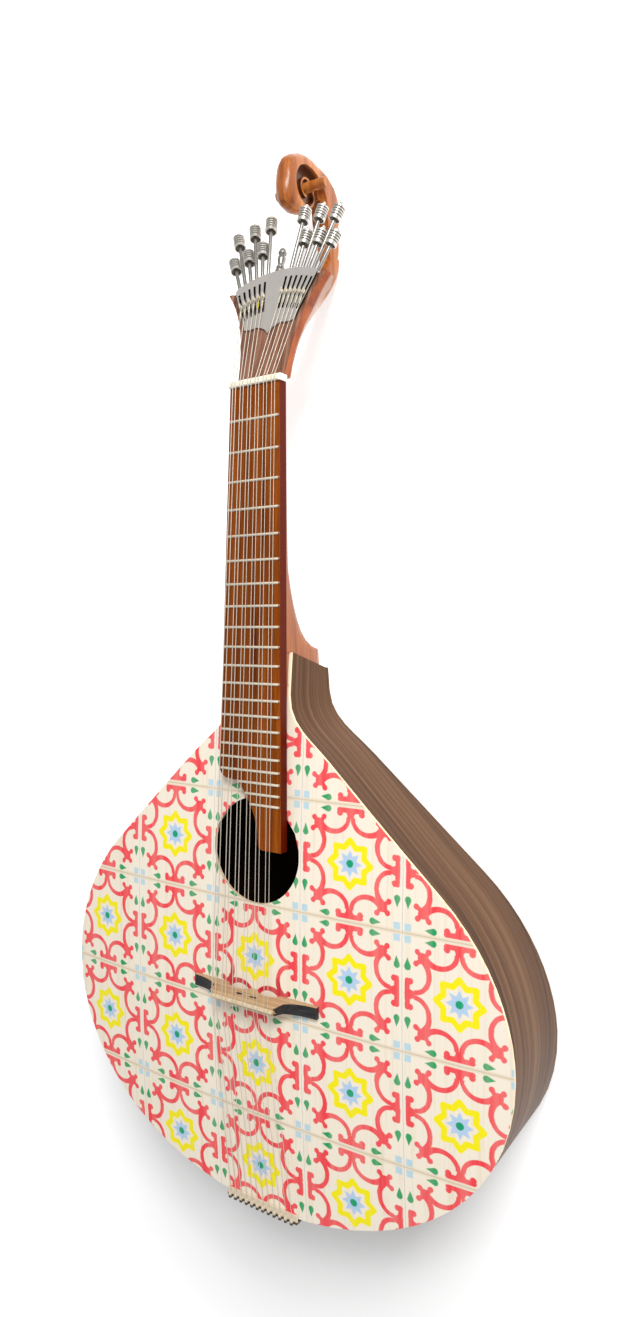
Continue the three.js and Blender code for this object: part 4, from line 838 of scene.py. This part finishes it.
def tube(points, radius, sides):
    """Round wire along points."""
    count = len(points)
    verts, faces = [], []
    side = (points[1] - points[0]).normalized().orthogonal().normalized()
    for i in range(count):
        tangent = (points[min(i + 1, count - 1)] - points[max(i - 1, 0)]).normalized()
        side = (side - tangent * side.dot(tangent)).normalized()
        up = tangent.cross(side)
        for k in range(sides):
            a = 2 * math.pi * k / sides
            verts.append(points[i] + (side * math.cos(a) + up * math.sin(a)) * radius)
    for i in range(count - 1):
        for k in range(sides):
            n = (k + 1) % sides
            faces.append([i * sides + k, i * sides + n, (i + 1) * sides + n, (i + 1) * sides + k])
    faces.append(list(range(sides)))
    faces.append(list(range((count - 1) * sides, count * sides)))
    return verts, faces


def joined(parts):
    """The vertices and faces of several forms as one."""
    verts, faces = [], []
    for more_verts, more_faces in parts:
        base = len(verts)
        verts += more_verts
        faces += [[base + i for i in face] for face in more_faces]
    return verts, faces


# Wooden parts again with their round faces shaded smoothly: same form, same place. The angle is
# where an edge starts to be sharp.
SMOOTH_ANGLES = {
    "head": 32,
    "neck": 35,
    "bass_side": 30,
    "treble_side": 30,
    "back": 25,
    "soundboard": 25,
}


def smooth_copy(name, angle):
    mesh = nodes[name].data
    form = [v.co for v in mesh.vertices], [list(face.vertices) for face in mesh.polygons]
    made = piece(name + "_smooth", form, LOOKS[SLOTS[name]], "frame", angle)
    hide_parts(name)


# Frets: nickel wire with a round crown over each bar.
FRETS = 21
FRET_HALF_WIDTH = 1.02
FRET_CROWN = 1.3
FRET_SINK = 0.05
FRET_BEVEL = 0.5
FRET_END_SHARE = 0.6
FRET_STEPS = 6
FRET_REACH = 1.2
FRET_BAR_RISE = 0.6


def fret_span(y):
    """The ends of a fret's bar; past the slant of the board's end the bass side is cut away."""
    crest = board_z(y) + FRET_BAR_RISE
    xs = [
        v.co.x / MM
        for v in nodes["fretboard"].data.vertices
        if abs(v.co.y / MM - ORIGIN_Y - y) < FRET_REACH and v.co.z / MM - ORIGIN_Z > crest
    ]
    return min(xs), max(xs)


def fret_wire(number):
    """Half-round sections at the fret's ends and just inside them, joined to a closed form."""
    y = SCALE * 2 ** (-number / 12)
    low, high = fret_span(y)
    sections = (
        (low, FRET_END_SHARE),
        (low + FRET_BEVEL, 1.0),
        (high - FRET_BEVEL, 1.0),
        (high, FRET_END_SHARE),
    )
    verts, faces = [], []
    for x, share in sections:
        for i in range(FRET_STEPS + 1):
            a = math.pi * i / FRET_STEPS
            rise = share * FRET_CROWN * math.sin(a)
            verts.append(at(x, y + FRET_HALF_WIDTH * math.cos(a), board_z(y) - FRET_SINK + rise))
    size = FRET_STEPS + 1
    for i in range(len(sections) - 1):
        first = i * size
        for a in range(first, first + FRET_STEPS):
            faces.append([a, a + 1, a + size + 1, a + size])
        faces.append([first, first + size, first + size + FRET_STEPS, first + FRET_STEPS])
    faces.append(list(range(size)))
    faces.append(list(range(len(verts) - size, len(verts))))
    return verts, faces


# Strings: round wire from the tailpiece over saddle and nut to the hook, with a twisted end. The
# visible wire is finer than the CAD string that it stands for.
FIRST_RADIUS = 0.34
LAST_RADIUS = 0.2
NUT_STEP, NUT_TWIN = 7.2, 2.8
SADDLE_STEP, SADDLE_TWIN = 9.7, 3.4
TAIL_STEP = 5.3
NUT_Z = -1.9
NUT_SPAN = (SCALE + 0.3, SCALE + 5.1)
SADDLE_Z = 18.62
SADDLE_SPAN = (-15.5, -13.5)
TAIL_PIN_Y = TAIL_Y + 2.3
TAIL_PIN_RISE = 2.6
STRING_SIDES = 10
END_SIDES = 8

# The wound end. Lengths count back from the hook, and the coil's wire lies just off the string.
WIRE_STEPS = 4
WINDING_STARTS = 8.5
WINDING_ENDS = 2.5
COIL_WIRE = 0.23
COIL_GAP = 0.18
COIL_TURNS = 12
STEPS_PER_TURN = 10
COIL_SIDES = 6
SILK_STRING = 5

# In a ray's frame: the point on the hook's arm that the string runs to, and the loop round the arm,
# with its middle, half its width and length, and its rise.
HOOK_POINT = (0, HOOK_REST - 1.5, 0.9)
LOOP_WIRE = 0.3
LOOP_MIDDLE = HOOK_REST - 0.1
LOOP_HALF_WIDTH = 1.15
LOOP_HALF_LENGTH = 1.75
LOOP_Z = 1.0
LOOP_RISE = 0.3
LOOP_STEPS = 24


def string_x(n):
    """Across at the nut, the saddle and the tailpiece."""
    i = n - 1
    course = i // 2 - 2.5
    twin = 0.5 if i % 2 else -0.5
    at_nut = course * NUT_STEP + twin * NUT_TWIN
    at_saddle = course * SADDLE_STEP + twin * SADDLE_TWIN
    return at_nut, at_saddle, (i - 5.5) * TAIL_STEP


def coil(start, end, radius):
    """Fine wire wound round a straight stretch of string, at radius from its middle."""
    axis = (end - start).normalized()
    side = axis.orthogonal().normalized()
    up = axis.cross(side)
    count = COIL_TURNS * STEPS_PER_TURN
    points = []
    for i in range(count + 1):
        a = 2 * math.pi * COIL_TURNS * i / count
        off_axis = (side * math.cos(a) + up * math.sin(a)) * radius
        points.append(start + (end - start) * (i / count) + off_axis)
    return tube(points, COIL_WIRE * MM, COIL_SIDES)


def loop(n):
    """The eye of the string's end round the hook's arm."""
    matrix = ray_frame(n)
    points = []
    for i in range(LOOP_STEPS + 1):
        a = 2 * math.pi * i / LOOP_STEPS
        across, out = LOOP_HALF_WIDTH * math.sin(a), LOOP_MIDDLE - LOOP_HALF_LENGTH * math.cos(a)
        points.append(matrix @ Vector((across, out, LOOP_Z + LOOP_RISE * math.sin(a / 2))))
    return tube(points, LOOP_WIRE * MM, COIL_SIDES)


def string(n):
    thin = FIRST_RADIUS + (LAST_RADIUS - FIRST_RADIUS) * (n - 1) / (STRINGS - 1)
    radius = thin * MM
    nut_x, saddle_x, tail_x = string_x(n)
    hook = ray_frame(n) @ Vector(HOOK_POINT)
    tail = at(tail_x, TAIL_PIN_Y, top_z(TAIL_Y) + TAIL_PIN_RISE)
    saddle = [at(saddle_x, y, SADDLE_Z + thin) for y in SADDLE_SPAN]
    nut_near, nut_far = (at(nut_x, y, NUT_Z) for y in NUT_SPAN)
    route = [tail, *saddle, nut_near, nut_far]
    form = tube(route, radius, STRING_SIDES)
    made = piece("wire_%d" % n, form, STEEL, "frame", smooth=60)
    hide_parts("string_%d" % n)

    reach = (hook - nut_far).length
    unit = (hook - nut_far) / reach
    last = [nut_far + unit * (reach * i / WIRE_STEPS) for i in range(WIRE_STEPS + 1)]
    form = tube(last, radius, END_SIDES)
    made = piece("wire_end_%d" % n, form, STEEL, None, smooth=60)
    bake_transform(made)

    start = nut_far + unit * (reach - WINDING_STARTS * MM)
    end = nut_far + unit * (reach - WINDING_ENDS * MM)
    form = joined([coil(start, end, radius + COIL_GAP * MM), loop(n)])
    look = SILK if n == SILK_STRING else GILT
    piece("wire_loop_%d" % n, form, look, "hook_%d" % n, smooth=60)


# Tuning screws: threaded rod, plain shank, a grooved knob with a hollow skirt, and painted shade in
# its grooves. Knobs start by turns nearer and farther out, and a knob's own lengths count from its
# start.
LONG_KNOB = 138.7
SHORT_KNOB = 118.9
THREAD_RADIUS = 0.9
THREAD_ROOT = 0.76
THREAD_PITCH = 0.5
THREAD_ENDS = 97.4
ROD_TIP = 0.3
ROD_TIP_RADIUS = 0.7
ROD_INSET = 0.02
ROD_SIDES = 16
SHANK_RADIUS = 1.5
SHANK_SHOULDER = [(1.42, 0.5), (SHANK_RADIUS, 0.8)]
TURNED_SIDES = 32
KNOB_RADIUS = 4.7
KNOB_WALL = 0.8
KNOB_SEAT = 3.0
KNOB_LENGTH = 11.0
KNOB_LIP = 0.35
KNOB_SKIRT_EDGE = 0.2
KNOB_BUTTON = [(KNOB_RADIUS, -0.3), (KNOB_RADIUS - 0.4, 0), (3.4, 0.5), (1.5, 1.9), (1.05, 2.1)]
KNOB_BUTTON += [(1.3, 2.6), (1.25, 3.3), (0.7, 3.75), (0, 3.8)]
KNOB_GROOVES = 4
GROOVE_STARTS = 2.6
GROOVE_STEP = 1.95
GROOVE_DEPTH = 0.85
GROOVE_WIDTH = 0.95
GROOVE_BEVEL = 0.12
GROOVE_SLOPE = 0.08
SHADE_INNER = KNOB_RADIUS - 1.15
SHADE_OUTER = KNOB_RADIUS - 0.62


def groove_places(start):
    """Where each groove of a knob begins, out along its ray."""
    return [start + GROOVE_STARTS + GROOVE_STEP * i for i in range(KNOB_GROOVES)]


def groove_shade_profile(y):
    """Painted shade that fills the bottom of a groove: a band that is closed round the knob's core.
    """
    near, far = y + GROOVE_BEVEL, y + GROOVE_WIDTH - GROOVE_BEVEL
    outside = [(SHADE_OUTER, near + GROOVE_SLOPE), (SHADE_OUTER, far - GROOVE_SLOPE)]
    return [(0, near), (SHADE_INNER, near), *outside, (SHADE_INNER, far), (0, far)]


def knob_profile(start):
    """From the seat inside the skirt, over its lip and the grooves, to the button at the end."""
    r, inner, seat = KNOB_RADIUS, KNOB_RADIUS - KNOB_WALL, start + KNOB_SEAT
    profile = [(0, seat), (SHANK_RADIUS, seat), (inner, seat), (inner, start + KNOB_SKIRT_EDGE)]
    profile += [(r - KNOB_LIP, start), (r, start + KNOB_LIP)]
    for y in groove_places(start):
        far = y + GROOVE_WIDTH
        profile += [
            (r, y - GROOVE_BEVEL),
            (r - GROOVE_BEVEL, y),
            (r - GROOVE_DEPTH, y + GROOVE_SLOPE),
        ]
        profile += [(r - GROOVE_DEPTH, far - GROOVE_SLOPE), (r - GROOVE_BEVEL, far)]
        profile += [(r, far + GROOVE_BEVEL)]
    return profile + [(radius, start + KNOB_LENGTH + past) for radius, past in KNOB_BUTTON]


def thread_profile(foot):
    """Threaded rod from its foot to the shank."""
    profile = [(0, foot), (ROD_TIP_RADIUS, foot), (THREAD_RADIUS, foot + ROD_TIP)]
    y = foot + ROD_TIP
    while y < THREAD_ENDS - THREAD_PITCH:
        profile += [(THREAD_RADIUS, y), (THREAD_ROOT, y + THREAD_PITCH / 2)]
        y += THREAD_PITCH
    return profile + [(THREAD_RADIUS, THREAD_ENDS), (0, THREAD_ENDS)]


def shank_profile(seat):
    """Plain shank from the thread to the knob's seat."""
    shoulder = [(radius, THREAD_ENDS + past) for radius, past in SHANK_SHOULDER]
    return [
        (0, THREAD_ENDS),
        (THREAD_RADIUS, THREAD_ENDS),
        *shoulder,
        (SHANK_RADIUS, seat),
        (0, seat),
    ]


def rod_foot(n, matrix):
    """How far in along its ray the CAD screw reaches."""
    inverse = matrix.inverted()
    return min((inverse @ v.co).y for v in nodes["tuning_screw_%d" % n].data.vertices) + ROD_INSET


def screw(n):
    start = SHORT_KNOB if from_middle(n) % 2 else LONG_KNOB
    matrix = ray_frame(n) @ Matrix.Translation((0, 0, -SCREW_DEPTH))
    body = "screw_%d" % n
    for title, profile, sides, look in (
        ("thread", thread_profile(rod_foot(n, matrix)), ROD_SIDES, BLACKENED),
        ("shank", shank_profile(start + KNOB_SEAT), TURNED_SIDES, SHANK),
        ("screw_looks", knob_profile(start), TURNED_SIDES, NICKEL),
    ):
        form = lathe(profile, matrix, sides)
        made = piece("%s_%d" % (title, n), form, look, body, smooth=35)
        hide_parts("tuning_screw_%d" % n)
    # Rings of painted shade in the bottoms of the grooves.
    shade_rings = joined([lathe(groove_shade_profile(y), matrix, TURNED_SIDES) for y in groove_places(start)])
    piece("grooves_%d" % n, shade_rings, GROOVE_SHADE, body, smooth=35)


# Finial: a turned baluster on a pin in the plate's upper edge. Its profile is drawn smaller, and
# then stretched to its size.
FINIAL_HEIGHT = 21.0
FINIAL_RADIUS = 3.5
DRAWN_HEIGHT = 18.5
DRAWN_RADIUS = 3.0
PIN_TOP = 0.3
FINIAL_SIDES = 36
FINIAL_PIN = [(0, -3.0), (0.68, -3.0), (0.68, PIN_TOP)]
FINIAL_FOOT = [(2.6, PIN_TOP), (DRAWN_RADIUS, 0.7), (DRAWN_RADIUS, 1.8), (2.5, 2.2), (1.95, 2.6)]
FINIAL_VASE = [
    (2.3, 3.2), (2.75, 3.7), (2.65, 4.4), (2.25, 5.0), (2.0, 5.8), (2.1, 7.0), (2.45, 8.6),
]
FINIAL_NECK = [(2.68, 10.0), (2.6, 11.4), (2.2, 12.6), (1.95, 13.3), (2.4, 13.8)]
FINIAL_BALL = [(2.8, 14.4), (2.82, 15.2), (2.5, 15.9), (2.15, 16.3)]
FINIAL_CAP = [(2.2, 16.9), (1.9, 17.6), (1.2, 18.2), (0, DRAWN_HEIGHT)]


def finial():
    matrix = FACE @ Matrix.Translation((0, PLATE_TOP - FOCUS, -SCREW_DEPTH))
    drawn = FINIAL_PIN + FINIAL_FOOT + FINIAL_VASE + FINIAL_NECK + FINIAL_BALL + FINIAL_CAP
    wide, tall = FINIAL_RADIUS / DRAWN_RADIUS, FINIAL_HEIGHT / DRAWN_HEIGHT
    profile = [(r * wide, y * tall if y > PIN_TOP else y) for r, y in drawn]
    form = lathe(profile, matrix, FINIAL_SIDES)
    made = piece("finial_looks", form, SHANK, "frame", smooth=60)
    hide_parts("finial")


for name, angle in SMOOTH_ANGLES.items():
    smooth_copy(name, angle)
frets = joined([fret_wire(number) for number in range(1, FRETS + 1)])
piece("fret_wires", frets, FRET_METAL, "frame", smooth=50)
for number in range(1, STRINGS + 1):
    string(number)
for number in range(1, STRINGS + 1):
    screw(number)
finial()


# Studio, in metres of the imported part. The floor glows, so that it shows white, and it glows less
# under the body's lower edge, where the photograph has its shadow.
WORLD_LIGHT = 0.5
FLOOR_HALF = 6.0
FLOOR_GAP = 0.0005
GLOW_MIDDLE = (-0.07, -0.41)
GLOW_RADII = (0.15, 0.38)
GLOW_STRENGTHS = (0.06, 0.5)
LAMP_PLACE = (1.0, 1.32, 1.6)
LAMP_AIM = (0, -0.12, 0.05)
LAMP_SIZE = 0.7
LAMP_POWER = 43.0

# The photograph's camera: its place in millimetres of the making frame, its aim and its lens.
CAMERA_PLACE = (391.27, 261.083, 509.2)
CAMERA_LOOK = (-0.54594, -0.03546, -0.83707)
CAMERA_UP = (-0.01769, 0.99937, -0.03080)
LENS = 23.62
SENSOR = 36.0
CLIP = (0.01, 50.0)


def floor_looks():
    s = Shader("floor_looks", roughness=0.9, specular=0.1)
    place = s.place()
    speck = s.noise(place, scale=30.0, detail=2)
    s.colour(s.mix(speck, linear(253, 253, 253), linear(251, 251, 251)))
    s.surface("Emission Color", (1.0, 1.0, 1.0, 1.0))
    x, y = s.xyz(place)[0], s.xyz(place)[1]
    away = s.length(s.sub(x, GLOW_MIDDLE[0]), s.sub(y, GLOW_MIDDLE[1]))
    s.surface("Emission Strength", s.shares(away, *GLOW_RADII, *GLOW_STRENGTHS))
    return s.material


def floor():
    mesh = bpy.data.meshes.new("floor")
    corners = [(-1, -1), (1, -1), (1, 1), (-1, 1)]
    mesh.from_pydata([(x * FLOOR_HALF, y * FLOOR_HALF, 0) for x, y in corners], [], [[0, 1, 2, 3]])
    mesh.materials.append(floor_looks())
    made = bpy.data.objects.new("floor", mesh)
    made.location.z = cad_box[0][2] - FLOOR_GAP
    bpy.context.scene.collection.objects.link(made)


def world_light():
    world = bpy.data.worlds.new("studio")
    bpy.context.scene.world = world
    world.use_nodes = True
    back = world.node_tree.nodes["Background"]
    back.inputs["Color"].default_value = (1.0, 1.0, 1.0, 1.0)
    back.inputs["Strength"].default_value = WORLD_LIGHT


def key_light():
    lamp = bpy.data.lights.new("key", "AREA")
    lamp.size = LAMP_SIZE
    lamp.energy = LAMP_POWER
    made = bpy.data.objects.new("key", lamp)
    made.location = LAMP_PLACE
    made.rotation_mode = "QUATERNION"
    made.rotation_quaternion = (Vector(LAMP_AIM) - Vector(LAMP_PLACE)).to_track_quat("-Z", "Y")
    bpy.context.scene.collection.objects.link(made)


def camera():
    data = bpy.data.cameras.new("photo")
    data.sensor_width = SENSOR
    data.lens = LENS
    data.clip_start, data.clip_end = CLIP
    made = bpy.data.objects.new("photo", data)
    bpy.context.scene.collection.objects.link(made)
    look = Vector(CAMERA_LOOK).normalized()
    right = look.cross(Vector(CAMERA_UP).normalized()).normalized()
    turn = Matrix((right, right.cross(look), -look)).transposed().to_4x4()
    made.matrix_world = Matrix.Translation(at(*CAMERA_PLACE)) @ turn
    bpy.context.scene.camera = made


world_light()
floor()
key_light()
camera()
bpy.context.scene.view_settings.view_transform = "Standard"
